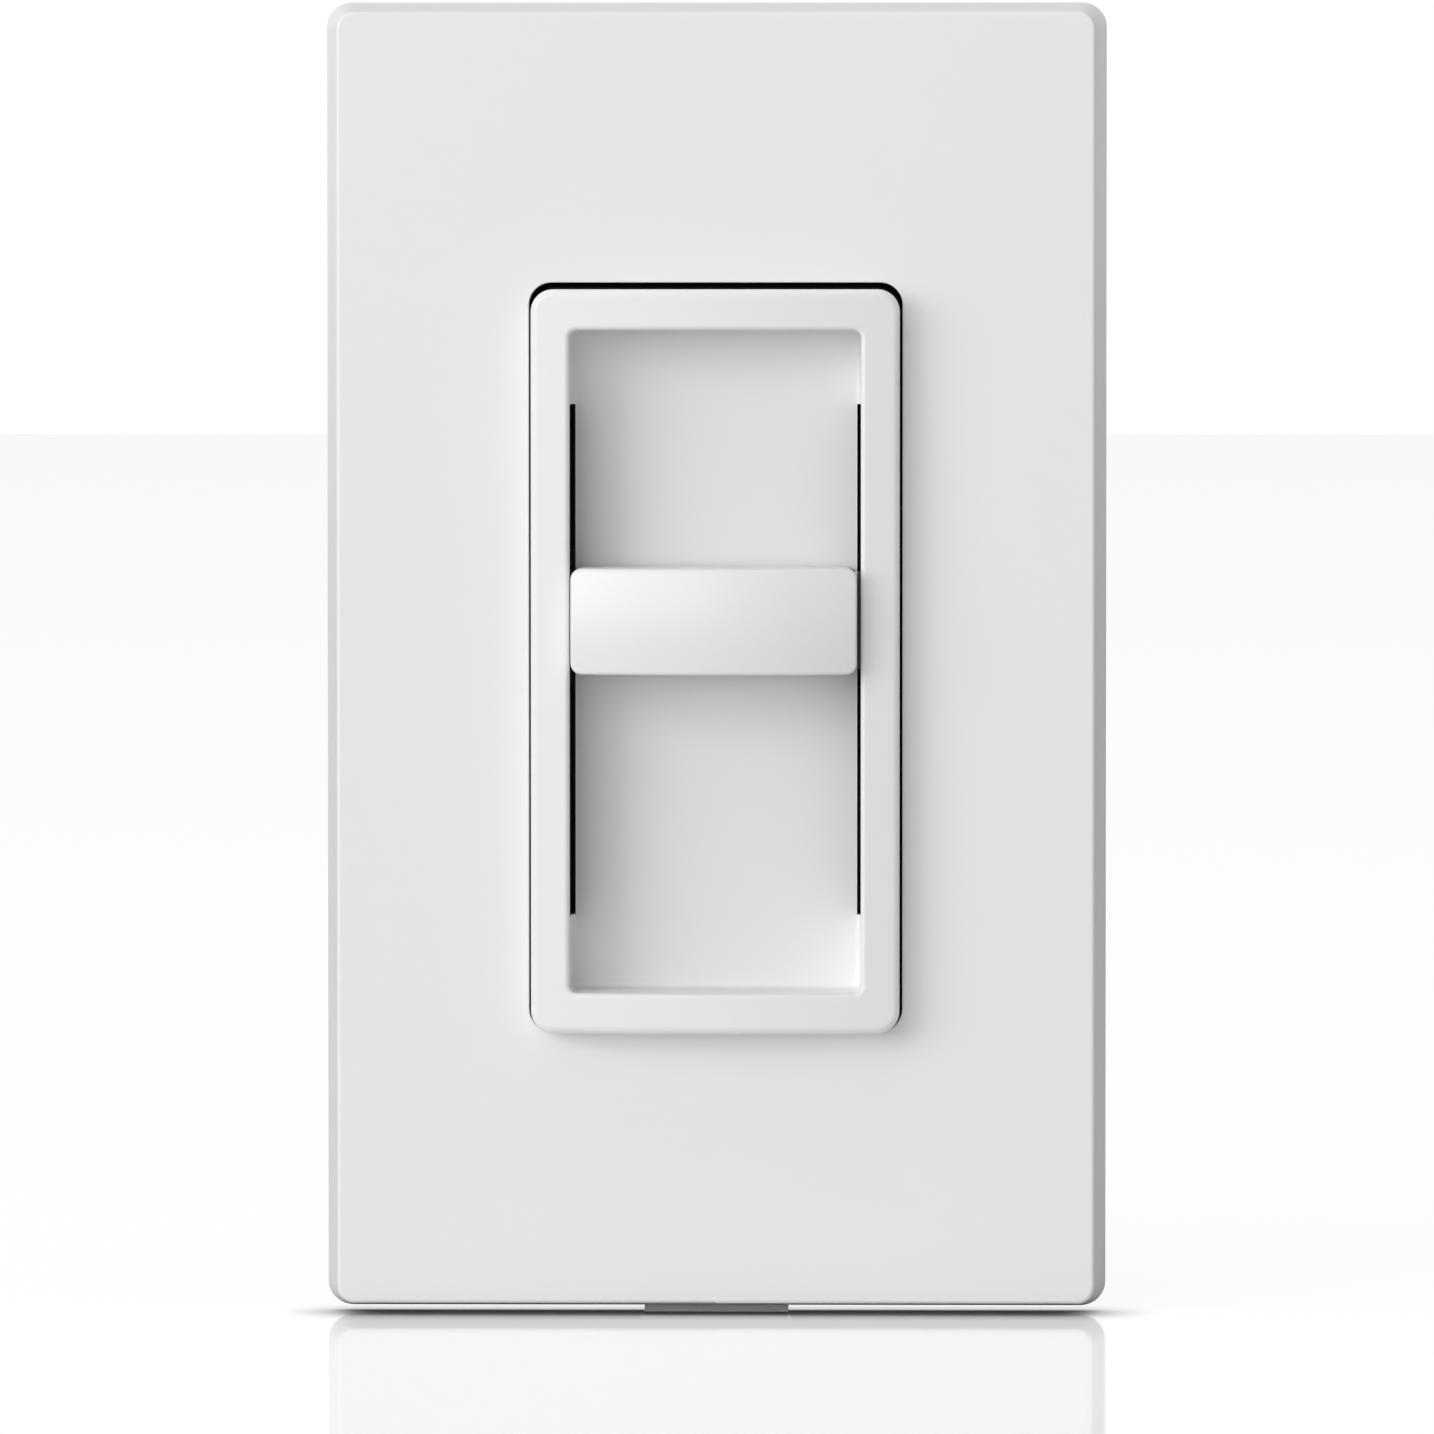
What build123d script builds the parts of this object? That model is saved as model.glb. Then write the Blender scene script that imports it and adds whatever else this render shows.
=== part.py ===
from build123d import *
import os

# A slide dimmer for a wall box, with a screwless clip-on wallplate. All sizes are in millimetres.
# Frame: the origin is midway between the two mounting screws, on the wall's surface. +X is to the
# right as seen from the room, +Z is up, and -Y points into the room, so the housing has y > 0.

# Levels along Y
WALL = 0
STRAP_FRONT = -1.6
BRACKET_FRONT = -3.4
COVER_FRONT = -6.5
BEZEL_FRONT = -11.0
BAR_FRONT = -14.5
FLOOR_FRONT = -2.8
BOARD_FRONT = 13.0
BOARD_BACK = 14.6
HOUSING_BACK = 33.0

# How far a cutting shape reaches past the surface that it cuts
OVER = 1.0

# Wallplate: the cover's outline at the wall, and how it narrows towards its front face
PLATE_W = 69.85
PLATE_H = 116.9
PLATE_R = 2.2
PLATE_SHIFT = 0.3
RIM_DEPTH = 1.5
RIM_INSET = 0.12
FACE_INSET_W = 1.15
FACE_INSET_H = 0.82
FACE_DROP = 0.13
FACE_R = 1.5
FACE_FILLET = 0.35
SIDE_WALL = 1.8
FRONT_WALL = 1.8
CAVITY_R = 1.2
OPENING_W = 33.3
OPENING_H = 66.8
OPENING_R = 2.0
OPENING_FILLET = 0.15
COLLAR_WALL = 1.1
COLLAR_BACK = -3.5
COVER_RIB_X = 25.0
COVER_RIB_T = 1.0
COVER_RIB_H = 98.0

# The pry notch in the cover's bottom wall, and the bracket's tab that fills it
NOTCH_W = 13.2
NOTCH_DEPTH = 2.1
TAB_W = 12.9
TAB_DEPTH = 2.0
TAB_DROP = 0.45

# Snap teeth on the bracket's sides, and the grooves in the cover that they sit in
TOOTH_Z = (-40.0, 0.0, 40.0)
TOOTH_L = 8.0
TOOTH_FRONT = -2.8
TOOTH_BACK = -2.0
TOOTH_GAP = 0.06
GROOVE_DEPTH = 0.25
GROOVE_MARGIN = 0.4

# Bracket
BRACKET_GAP = 0.3
BRACKET_R = 1.0
BRACKET_BACK = -0.3
SKIRT_WALL = 1.4
BRACKET_WINDOW_W = 34.5
BRACKET_WINDOW_H = 68.4
BRACKET_WINDOW_R = 2.4
SCREW_WINDOW_W = 13.0
SCREW_WINDOW_H = 90.6
PLATE_SCREW_Z = 48.4
PLATE_SCREW_R = 1.65
PLATE_HEAD_R = 2.9
PLATE_HEAD_T = 1.15
PLATE_SCREW_TIP = 3.5
CLEARANCE = 0.2

# Bezel
BEZEL_W = 32.8
BEZEL_H = 66.2
BEZEL_R = 2.0
BEZEL_OUTER_FILLET = 0.7
BEZEL_INNER_FILLET = 0.4
BEZEL_CROWN_R = 105.0
RECESS_W = 25.9
RECESS_H = 58.95
RECESS_R = 0.7
FLOOR_FILLET = 0.5
SLOT_INNER_X = 12.6
SLOT_OUTER_X = 15.1
SLOT_HALF_H = 22.85
LIP_BACK = -8.5
PLUG_W = 30.2
PLUG_H = 60.8
PLUG_R = 1.0
LEG_X = (8.5, 13.5)
LEG_BACK = 3.2
LEG_T = 1.2
HOOK_REACH = 1.1
HOOK_FRONT = 0.15
HOOK_BACK = 1.6

# Black pieces that stop light: the sheet between bezel and strap, and the liners of the slots
SEAL_FRONT = -1.8
SEAL_W = 34.2
SEAL_H = 68.1
SEAL_R = 2.2
SEAL_WALL = 0.2
SEAL_WALL_FRONT = -5.8
SEAL_WALL_FOOT = -31.0
LINER_T = 0.2
LINER_GAP = 0.05

# Slide bar, its arms behind the bezel's lip, and the carrier that joins them behind the strap
REST_Z = 3.65
BAR_W = 25.4
BAR_H = 9.4
BAR_R = 1.0
BAR_OFFSET = -0.1
BAR_BACK = -3.4
BAR_WALL = 1.3
BAR_HOLLOW_FRONT = -11.2
BAR_RIBS = 2
BAR_RIB_T = 1.2
BAR_CROWN_R = 38.0
BAR_CROWN_SWEEP = 70
BAR_TOP_CROWN_R = 22.0
BAR_FILLET = 0.35
ARM_H = 8.6
ARM_INNER_X = 12.8
ARM_OUTER_X = 14.8
SHOULDER_INNER_X = 11.6
SHOULDER_FRONT = -8.15
ARM_BACK = 3.4
CARRIER_W = 30.4
CARRIER_H = 12.0
CARRIER_FRONT = 0.6
CARRIER_BACK = 4.0
CARRIER_R = 1.0
CARRIER_POCKET_W = 7.0
CARRIER_POCKET_H = 8.0
CARRIER_POCKET_DEPTH = 2.2
SOCKET_GAP = 0.05

# Mounting strap
STRAP_W = 44.0
STRAP_H = 104.8
STRAP_R = 2.5
STRAP_NOTCH_DEPTH = 3.0
STRAP_NOTCH_H = 3.6
STRAP_NOTCH_Z = 38.4
STRAP_WINDOW_W = 31.2
STRAP_WINDOW_H = 62.0
STRAP_WINDOW_R = 1.2
EAR_SLOT_L = 7.6
EAR_SLOT_W = 4.0
EAR_HOLE_X = 13.5
EAR_HOLE_Z = 46.5
EAR_HOLE_R = 1.6
SCORE_X = 18.0
SCORE_W = 0.5
SCORE_DEPTH = 0.4
TONGUE_W = 16.0
TONGUE_TOP = -30.0
TONGUE_T = 1.6
TONGUE_BACK = 30.4
TONGUE_BEND = 1.0
TONGUE_GAP = 0.4

# Mounting screws, their retaining washers, and the ground screw
MOUNT_SPACING = 83.34
MOUNT_STUD_R = 1.75
MOUNT_NECK_R = 1.6
MOUNT_NECK_END = 0.4
MOUNT_TIP = 20.0
MOUNT_HEAD_R = 3.3
MOUNT_HEAD_T = 1.8
MOUNT_HEAD_FILLET = 0.7
RETAINER_SIZE = 8.0
RETAINER_R = 1.0
DRIVE_L = 4.2
DRIVE_W = 0.8
DRIVE_DEPTH = 0.9
TIP_CHAMFER = 0.5
GROUND_X = 10.0
GROUND_Z = -37.4
GROUND_R = 1.7
GROUND_HEAD_R = 2.9
GROUND_HEAD_T = 2.4

# Rear housing
HOUSING_W = 43.0
HOUSING_H = 67.2
HOUSING_R = 3.0
HOUSING_WALL = 1.8
HOUSING_INNER_R = 1.2
HOUSING_FILLET = 1.4
HOUSING_LIP_REACH = 0.5
HOUSING_LIP_DEPTH = 1.6
GRIP_RIBS = 9
GRIP_PITCH = 3.6
GRIP_T = 1.1
GRIP_REACH = 0.5
GRIP_Y = (5.0, 28.0)
WIRE_HOLE_X = 12.0
WIRE_HOLE_Z = 22.5
WIRE_HOLE_R = 1.4
WIRE_FUNNEL_R = 2.4
WIRE_HOLE_DEPTH = 1.2
COLUMN_X = 17.6
COLUMN_Z = 29.0
COLUMN_R = 3.2
HOUSING_SCREW_R = 1.2
HOUSING_HEAD_R = 2.3
HOUSING_HEAD_T = 1.4
COUNTERBORE_R = 2.7
COUNTERBORE_DEPTH = 1.9
LEDGE_T = 1.6
LEDGE_H = 3.0
LEDGE_Z = 20.0
PANEL_W = 22.0
PANEL_H = 34.0
PANEL_R = 1.0
PANEL_DEPTH = 0.3
GAUGE_W = 3.0
GAUGE_L = 16.0
GAUGE_X = -15.0

# Terminals, in two pockets on the right side of the housing
TERMINAL_Z = 12.5
POD_INNER_X = 16.3
POD_BACK = 12.9
POD_HALF_H = 7.7
POCKET_INNER_X = 17.5
POCKET_FRONT = 2.5
POCKET_BACK = 12.0
POCKET_HALF_H = 6.5
TERMINAL_T = 1.0
TERMINAL_FRONT = 3.0
TERMINAL_BACK = 11.5
TERMINAL_HALF_H = 6.0
TAIL_W = 3.0
TAIL_BACK = 15.6
TERMINAL_SCREW_Y = 7.25
TERMINAL_SCREW_R = 1.75
TERMINAL_HEAD_R = 3.2
TERMINAL_HEAD_T = 2.1
TERMINAL_SCREW_TIP = 15.4

# Circuit board
BOARD_W = 38.8
BOARD_BOTTOM = -28.6
BOARD_TOP = 31.4
BOARD_CORNER_R = 3.5

# Slide potentiometer
POT_X = -9.0
POT_W = 8.5
POT_H = 49.0
POT_FRONT = 6.0
POT_WALL = 0.8
POT_SLOT_W = 2.6
POT_SLOT_H = 41.6
TRACK_W = 6.4
TRACK_FRONT = 11.6
TRACK_MARGIN = 1.2
LEVER_T = 1.2
LEVER_H = 3.0
LEVER_FRONT = 1.2
LEVER_BLOCK_W = 5.6
LEVER_BLOCK_H = 8.0
LEVER_BLOCK_FRONT = 7.6
LEVER_BLOCK_BACK = 9.6
WIPER_T = 0.25
WIPER_W = 1.2
WIPER_H = 7.0
WIPER_X = (-1.6, 1.6)
CONTACT_GAP = 0.1

# Switch that opens at the bottom of the travel: two rails and a bridging leaf
RAIL_X = (7.6, 10.4)
RAIL_W = 1.2
RAIL_FRONT = 9.0
RAIL_TOP = 22.0
LINE_RAIL_BOTTOM = -22.0
LOAD_RAIL_BOTTOM = -13.0
RAIL_PIN_W = 1.5
RAIL_PIN_BACK = 15.1
BRIDGE_T = 0.3
BRIDGE_H = 7.0

# Triac on the tongue
TRIAC_W = 10.2
TRIAC_T = 4.5
TRIAC_FRONT = 16.6
TRIAC_BODY_BACK = 25.2
TRIAC_TAB_BACK = 30.2
TRIAC_TAB_T = 1.3
TRIAC_HOLE_Y = 27.8
TRIAC_HOLE_R = 1.8
PAD_T = 0.25
PAD_MARGIN = 0.8
LEAD_PITCH = 2.54
LEAD_T = 0.7
LEAD_FRONT = 12.4
RIVET_R = 1.5
RIVET_HEAD_R = 2.6
RIVET_HEAD_T = 1.1

# Components behind the board
CHOKE_X = -6.5
CHOKE_Z = 17.0
CHOKE_R = 9.0
CHOKE_HOLE_R = 5.0
CHOKE_T = 8.0
CHOKE_FRONT = 16.0
WINDING_T = 1.0
WINDING_ARC = 300
CAP_X = 11.2
CAP_Z = 17.0
CAP_W = 9.0
CAP_H = 18.0
CAP_T = 15.0
CAP_FILLET = 0.8
CAP_LEAD_Z = 6.0
TIMING_X = 9.0
TIMING_Z = -4.0
TIMING_W = 7.2
TIMING_H = 3.5
TIMING_T = 8.0
TIMING_LEAD_X = 2.4
DIAC_X = -1.0
DIAC_Z = -8.0
DIAC_R = 1.0
DIAC_L = 4.2
RESISTOR_X = -10.5
RESISTOR_Z = (-6.0, -12.0)
RESISTOR_R = 1.2
RESISTOR_L = 6.4
WIRE_R = 0.3
WIRE_REACH = 2.2
COMPONENT_STANDOFF = 0.6


# Shapes that many pieces share

def block(x, y, z):
    """A box between the (low, high) limits on each axis."""
    size = [high - low for low, high in (x, y, z)]
    middle = [(high + low) / 2 for low, high in (x, y, z)]
    return Pos(*middle) * Box(*size)


def slab(outline, back, front):
    """An outline drawn in X and Z, filled from y = back to y = front."""
    return Pos(0, back, 0) * extrude(Plane.XZ * outline, amount=back - front)


def rod(radius, start, end, end_radius=None):
    """A cylinder between two points, or a cone where the end has its own radius."""
    axis = Vector(*end) - Vector(*start)
    middle = (Vector(*start) + Vector(*end)) * 0.5
    place = Plane(origin=middle, z_dir=axis)
    if end_radius is None:
        return place * Cylinder(radius, axis.length)
    return place * Cone(radius, end_radius, axis.length)


def pillar(radius, x, z, front, back):
    """A cylinder along Y."""
    return rod(radius, (x, front, z), (x, back, z))


def leaf(outline, x, width):
    """A bent strip: its side view is a list of (y, z) points, and it is width across X."""
    side = Plane.YZ * make_face(Polyline(*outline, close=True))
    return Pos(x - width / 2, 0, 0) * extrude(side, amount=width)


def cross_recess(x, z, face, direction):
    """The crossed slots in a screw head whose face is at y = face, cut along direction."""
    deep = sorted((face - direction, face + direction * DRIVE_DEPTH))
    half_l = DRIVE_L / 2
    half_w = DRIVE_W / 2
    upright = block((x - half_w, x + half_w), deep, (z - half_l, z + half_l))
    level = block((x - half_l, x + half_l), deep, (z - half_w, z + half_w))
    return upright + level


def front_face(solid):
    """The face nearest to the room."""
    return solid.faces().sort_by(Axis.Y)[0]


# Wallplate

def wallplate_cover():
    """The clip-on cover: a drafted shell with a rectangular opening."""
    levels = (
        (WALL, 0, 0, PLATE_R, 0),
        (-RIM_DEPTH, RIM_INSET, RIM_INSET, PLATE_R, 0),
        (COVER_FRONT, FACE_INSET_W, FACE_INSET_H, FACE_R, FACE_DROP),
    )
    sections = []
    for y, inset_w, inset_h, radius, drop in levels:
        outline = RectangleRounded(PLATE_W - 2 * inset_w, PLATE_H - 2 * inset_h, radius)
        sections.append(Plane.XZ.offset(-y) * Pos(0, -drop) * outline)
    cover = loft(sections[:2], ruled=True) + loft(sections[1:], ruled=True)
    cover = fillet(front_face(cover).edges(), FACE_FILLET)
    cavity_w = PLATE_W - 2 * SIDE_WALL
    cavity_h = PLATE_H - 2 * SIDE_WALL
    cavity_front = COVER_FRONT + FRONT_WALL
    cover -= slab(RectangleRounded(cavity_w, cavity_h, CAVITY_R), WALL, cavity_front)
    collar_w = OPENING_W + 2 * COLLAR_WALL
    collar_h = OPENING_H + 2 * COLLAR_WALL
    collar = RectangleRounded(collar_w, collar_h, OPENING_R + COLLAR_WALL)
    cover += slab(collar, COLLAR_BACK, cavity_front)
    rib_back = cavity_front + COVER_RIB_T
    for side in (-1, 1):
        rib_x = (side * COVER_RIB_X - COVER_RIB_T / 2, side * COVER_RIB_X + COVER_RIB_T / 2)
        cover += block(rib_x, (cavity_front, rib_back), (-COVER_RIB_H / 2, COVER_RIB_H / 2))
    cover -= slab(RectangleRounded(OPENING_W, OPENING_H, OPENING_R), WALL, BEZEL_FRONT)
    cover = fillet(front_face(cover).inner_wires()[0].edges(), OPENING_FILLET)
    for z in TOOTH_Z:
        groove_z = (z - TOOTH_L / 2 - GROOVE_MARGIN, z + TOOTH_L / 2 + GROOVE_MARGIN)
        groove_y = (TOOTH_FRONT - GROOVE_MARGIN, TOOTH_BACK + GROOVE_MARGIN)
        half_w = cavity_w / 2 + GROOVE_DEPTH
        cover -= block((-half_w, half_w), groove_y, groove_z)
    notch_z = (-PLATE_H / 2 - OVER, -cavity_h / 2 + OVER)
    cover -= block((-NOTCH_W / 2, NOTCH_W / 2), (-NOTCH_DEPTH, WALL + OVER), notch_z)
    return Pos(0, 0, PLATE_SHIFT) * cover


def wallplate_bracket():
    """The inner plate, screwed to the strap, with snap teeth and the pry tab."""
    width = PLATE_W - 2 * SIDE_WALL - 2 * BRACKET_GAP
    height = PLATE_H - 2 * SIDE_WALL - 2 * BRACKET_GAP
    outline = RectangleRounded(width, height, BRACKET_R)
    hollow = RectangleRounded(width - 2 * SKIRT_WALL, height - 2 * SKIRT_WALL, BRACKET_R)
    bracket = slab(outline, BRACKET_BACK, BRACKET_FRONT)
    bracket = fillet(front_face(bracket).edges(), BRACKET_GAP)
    bracket -= slab(hollow, BRACKET_BACK + OVER, STRAP_FRONT)
    tooth_reach = width / 2 + BRACKET_GAP - TOOTH_GAP
    for z in TOOTH_Z:
        for side in (-1, 1):
            tooth_x = sorted((side * (width / 2 - SKIRT_WALL), side * tooth_reach))
            bracket += block(tooth_x, (TOOTH_FRONT, TOOTH_BACK), (z - TOOTH_L / 2, z + TOOTH_L / 2))
    tab_z = (-PLATE_H / 2 - TAB_DROP, -height / 2 + SKIRT_WALL)
    bracket += block((-TAB_W / 2, TAB_W / 2), (-TAB_DEPTH, BRACKET_BACK), tab_z)
    bracket = Pos(0, 0, PLATE_SHIFT) * bracket
    window = RectangleRounded(BRACKET_WINDOW_W, BRACKET_WINDOW_H, BRACKET_WINDOW_R)
    screw_window = RectangleRounded(SCREW_WINDOW_W, SCREW_WINDOW_H, BRACKET_WINDOW_R)
    bracket -= slab(window, WALL, COVER_FRONT) + slab(screw_window, WALL, COVER_FRONT)
    for z in (-PLATE_SCREW_Z, PLATE_SCREW_Z):
        bracket -= pillar(PLATE_SCREW_R + CLEARANCE, 0, z, COVER_FRONT, WALL)
        bracket -= plate_screw_head(z)
    return bracket


def plate_screw_head(z):
    """The countersunk head of a wallplate screw, as a cone."""
    return rod(PLATE_HEAD_R, (0, BRACKET_FRONT, z), (0, BRACKET_FRONT + PLATE_HEAD_T, z), PLATE_SCREW_R)


def wallplate_screws():
    """Two flat-head screws that hold the bracket to the strap."""
    screws = []
    for z in (-PLATE_SCREW_Z, PLATE_SCREW_Z):
        shank = pillar(PLATE_SCREW_R, 0, z, BRACKET_FRONT + PLATE_HEAD_T / 2, PLATE_SCREW_TIP)
        shank = chamfer(shank.edges().sort_by(Axis.Y)[-1], TIP_CHAMFER)
        screw = plate_screw_head(z) + shank
        screws.append(screw - cross_recess(0, z, BRACKET_FRONT, 1))
    return screws


# Bezel and slide

def bezel():
    """The crowned front frame, its deep recess with a floor, the two slots, and the snap legs."""
    frame = slab(RectangleRounded(BEZEL_W, BEZEL_H, BEZEL_R), SEAL_FRONT, BEZEL_FRONT)
    frame &= Pos(0, BEZEL_FRONT + BEZEL_CROWN_R, 0) * Cylinder(BEZEL_CROWN_R, BEZEL_H)
    frame = fillet(front_face(frame).edges(), BEZEL_OUTER_FILLET)
    frame += slab(RectangleRounded(PLUG_W, PLUG_H, PLUG_R), WALL, SEAL_FRONT)
    recess = slab(RectangleRounded(RECESS_W, RECESS_H, RECESS_R), FLOOR_FRONT, BEZEL_FRONT - OVER)
    recess = fillet(recess.faces().sort_by(Axis.Y)[-1].edges(), FLOOR_FILLET)
    frame -= recess
    frame = fillet(front_face(frame).inner_wires()[0].edges(), BEZEL_INNER_FILLET)
    for side in (-1, 1):
        slot_x = sorted((side * SLOT_INNER_X, side * SLOT_OUTER_X))
        frame -= block(slot_x, (LIP_BACK, WALL + OVER), (-SLOT_HALF_H, SLOT_HALF_H))
    tongue_half = TONGUE_W / 2 + TONGUE_GAP
    below_tongue = (-PLUG_H, TONGUE_TOP + CLEARANCE)
    frame -= block((-tongue_half, tongue_half), (SEAL_FRONT, WALL + OVER), below_tongue)
    for side in (-1, 1):
        for end in (-1, 1):
            frame += snap_leg(side, end)
    return frame


def snap_leg(side, end):
    """One leg that passes the strap's window and hooks behind its edge."""
    outer = PLUG_H / 2
    hook = outer + HOOK_REACH
    profile = (
        (FLOOR_FRONT + FLOOR_FILLET, outer - LEG_T / 2),
        (WALL, outer - LEG_T),
        (LEG_BACK, outer - LEG_T),
        (LEG_BACK, outer - LEG_T / 2),
        (HOOK_BACK, hook),
        (HOOK_FRONT, hook),
        (HOOK_FRONT, outer),
        (FLOOR_FRONT + FLOOR_FILLET, outer),
    )
    points = [(y, end * z) for y, z in profile]
    return leaf(points, side * sum(LEG_X) / 2, LEG_X[1] - LEG_X[0])


def light_seal():
    """The black sheet between bezel and strap, and its wall round the bezel's sides and top."""
    sheet = slab(RectangleRounded(SEAL_W, SEAL_H, SEAL_R), STRAP_FRONT, SEAL_FRONT)
    window = RectangleRounded(STRAP_WINDOW_W, STRAP_WINDOW_H, STRAP_WINDOW_R)
    sheet -= slab(window, STRAP_FRONT, SEAL_FRONT)
    wall_w = BEZEL_W + 2 * SEAL_WALL
    wall_h = BEZEL_H + 2 * SEAL_WALL
    wall = slab(RectangleRounded(wall_w, wall_h, BEZEL_R + SEAL_WALL), SEAL_FRONT, SEAL_WALL_FRONT)
    wall -= slab(RectangleRounded(BEZEL_W, BEZEL_H, BEZEL_R), SEAL_FRONT, SEAL_WALL_FRONT)
    wall -= block((-wall_w, wall_w), (SEAL_WALL_FRONT, SEAL_FRONT), (-wall_h, SEAL_WALL_FOOT))
    return sheet + wall


def slot_liners():
    """A black angle in each slot, along the back of the bezel's lip and the slot's outer wall."""
    liners = []
    slot_z = (-SLOT_HALF_H, SLOT_HALF_H)
    for side in (-1, 1):
        lip_x = sorted((side * (RECESS_W / 2 + LINER_GAP), side * SLOT_OUTER_X))
        wall_x = sorted((side * (SLOT_OUTER_X - LINER_T), side * SLOT_OUTER_X))
        liner = block(lip_x, (LIP_BACK, LIP_BACK + LINER_T), slot_z)
        liners.append(liner + block(wall_x, (LIP_BACK, WALL), slot_z))
    return liners


def slide_bar():
    """The finger bar: a crowned, ribbed shell with an arm at each end."""
    bar = slab(RectangleRounded(BAR_W, BAR_H, BAR_R), BAR_BACK, BAR_FRONT)
    bar &= crowned_slab()
    bar = fillet(front_face(bar).edges(), BAR_FILLET)
    cells = BAR_RIBS + 1
    inner_w = BAR_W - 2 * BAR_WALL
    cell_w = (inner_w - BAR_RIBS * BAR_RIB_T) / cells
    half_h = BAR_H / 2 - BAR_WALL
    for i in range(cells):
        left = -inner_w / 2 + i * (cell_w + BAR_RIB_T)
        bar -= block((left, left + cell_w), (BAR_HOLLOW_FRONT, WALL), (-half_h, half_h))
    bar = Pos(BAR_OFFSET, 0, 0) * bar
    arm_z = (-ARM_H / 2, ARM_H / 2)
    for side in (-1, 1):
        shoulder_x = sorted((side * SHOULDER_INNER_X, side * ARM_OUTER_X))
        arm_x = sorted((side * ARM_INNER_X, side * ARM_OUTER_X))
        bar += block(shoulder_x, (SHOULDER_FRONT, BAR_BACK), arm_z)
        bar += block(arm_x, (BAR_BACK, ARM_BACK), arm_z)
    return Pos(0, 0, REST_Z) * bar


def crowned_slab():
    """A slab whose front is crowned both ways, turned about an upright axis behind the bar."""
    half_h = BAR_H
    sagitta = BAR_TOP_CROWN_R - (BAR_TOP_CROWN_R**2 - half_h**2) ** 0.5
    bottom = (0, BAR_FRONT + sagitta, -half_h)
    top = (0, BAR_FRONT + sagitta, half_h)
    front = ThreePointArc(bottom, (0, BAR_FRONT, 0), top)
    back = Polyline(top, (0, WALL, half_h), (0, WALL, -half_h), bottom)
    profile = make_face(front + back)
    upright = Axis((0, BAR_FRONT + BAR_CROWN_R, 0), (0, 0, 1))
    return revolve(profile.rotate(upright, -BAR_CROWN_SWEEP / 2), upright, BAR_CROWN_SWEEP)


def slide_carrier():
    """The plate behind the strap that joins the arms and drives the potentiometer and switch."""
    carrier = slab(RectangleRounded(CARRIER_W, CARRIER_H, CARRIER_R), CARRIER_BACK, CARRIER_FRONT)
    half_arm = ARM_H / 2 + SOCKET_GAP
    for side in (-1, 1):
        socket_x = sorted((side * (ARM_INNER_X - SOCKET_GAP), side * (ARM_OUTER_X + SOCKET_GAP)))
        carrier -= block(socket_x, (WALL, ARM_BACK + SOCKET_GAP), (-half_arm, half_arm))
    pocket = RectangleRounded(CARRIER_POCKET_W, CARRIER_POCKET_H, CARRIER_R)
    carrier -= slab(pocket, CARRIER_FRONT + CARRIER_POCKET_DEPTH, WALL)
    fork_half_w = LEVER_T / 2 + SOCKET_GAP
    fork_half_h = LEVER_H / 2 + SOCKET_GAP
    fork_x = (POT_X - fork_half_w, POT_X + fork_half_w)
    carrier -= block(fork_x, (WALL, POT_FRONT), (-fork_half_h, fork_half_h))
    return Pos(0, 0, REST_Z) * carrier


# Strap and its screws

def mounting_strap():
    """The stamped aluminium yoke with a tongue folded back as the triac's heat sink."""
    strap = slab(RectangleRounded(STRAP_W, STRAP_H, STRAP_R), WALL, STRAP_FRONT)
    notch = RectangleRounded(2 * STRAP_NOTCH_DEPTH, STRAP_NOTCH_H, STRAP_NOTCH_H / 2 - CLEARANCE)
    for side in (-1, 1):
        for end in (-1, 1):
            strap -= slab(Pos(side * STRAP_W / 2, end * STRAP_NOTCH_Z) * notch, WALL, STRAP_FRONT)
            strap -= pillar(HOUSING_SCREW_R, side * COLUMN_X, end * COLUMN_Z, STRAP_FRONT, WALL)
            strap -= pillar(EAR_HOLE_R, side * EAR_HOLE_X, end * EAR_HOLE_Z, STRAP_FRONT, WALL)
            score_x = (side * SCORE_X - SCORE_W / 2, side * SCORE_X + SCORE_W / 2)
            score_z = sorted((end * STRAP_NOTCH_Z, end * STRAP_H / 2))
            strap -= block(score_x, (STRAP_FRONT, STRAP_FRONT + SCORE_DEPTH), score_z)
    window = RectangleRounded(STRAP_WINDOW_W, STRAP_WINDOW_H, STRAP_WINDOW_R)
    strap -= slab(window, WALL, STRAP_FRONT)
    for end in (-1, 1):
        ear_slot = Pos(0, end * MOUNT_SPACING / 2) * SlotOverall(EAR_SLOT_L, EAR_SLOT_W)
        strap -= slab(ear_slot, WALL, STRAP_FRONT)
        strap -= pillar(PLATE_SCREW_R, 0, end * PLATE_SCREW_Z, STRAP_FRONT, WALL)
    strap -= pillar(GROUND_R, GROUND_X, GROUND_Z, STRAP_FRONT, WALL)
    tongue_z = (TONGUE_TOP - TONGUE_T, TONGUE_TOP)
    tongue = block((-TONGUE_W / 2, TONGUE_W / 2), (STRAP_FRONT, TONGUE_BACK), tongue_z)
    bend = tongue.edges().filter_by(Axis.X).group_by(Axis.Y)[0].sort_by(Axis.Z)[-1]
    tongue = fillet(bend, TONGUE_BEND)
    strap += tongue
    return strap - triac_rivet_shank()


def mounting_screws():
    """The two captive screws to the wall box, each with a thin neck through the strap."""
    screws = []
    for end in (-1, 1):
        z = end * MOUNT_SPACING / 2
        head_front = STRAP_FRONT - MOUNT_HEAD_T
        head = pillar(MOUNT_HEAD_R, 0, z, head_front, STRAP_FRONT)
        head = fillet(head.edges().sort_by(Axis.Y)[0], MOUNT_HEAD_FILLET)
        neck = pillar(MOUNT_NECK_R, 0, z, STRAP_FRONT, MOUNT_NECK_END)
        shank = pillar(MOUNT_STUD_R, 0, z, MOUNT_NECK_END, MOUNT_TIP)
        shank = chamfer(shank.edges().sort_by(Axis.Y)[-1], TIP_CHAMFER)
        screws.append(head + neck + shank - cross_recess(0, z, head_front, 1))
    return screws


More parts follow.
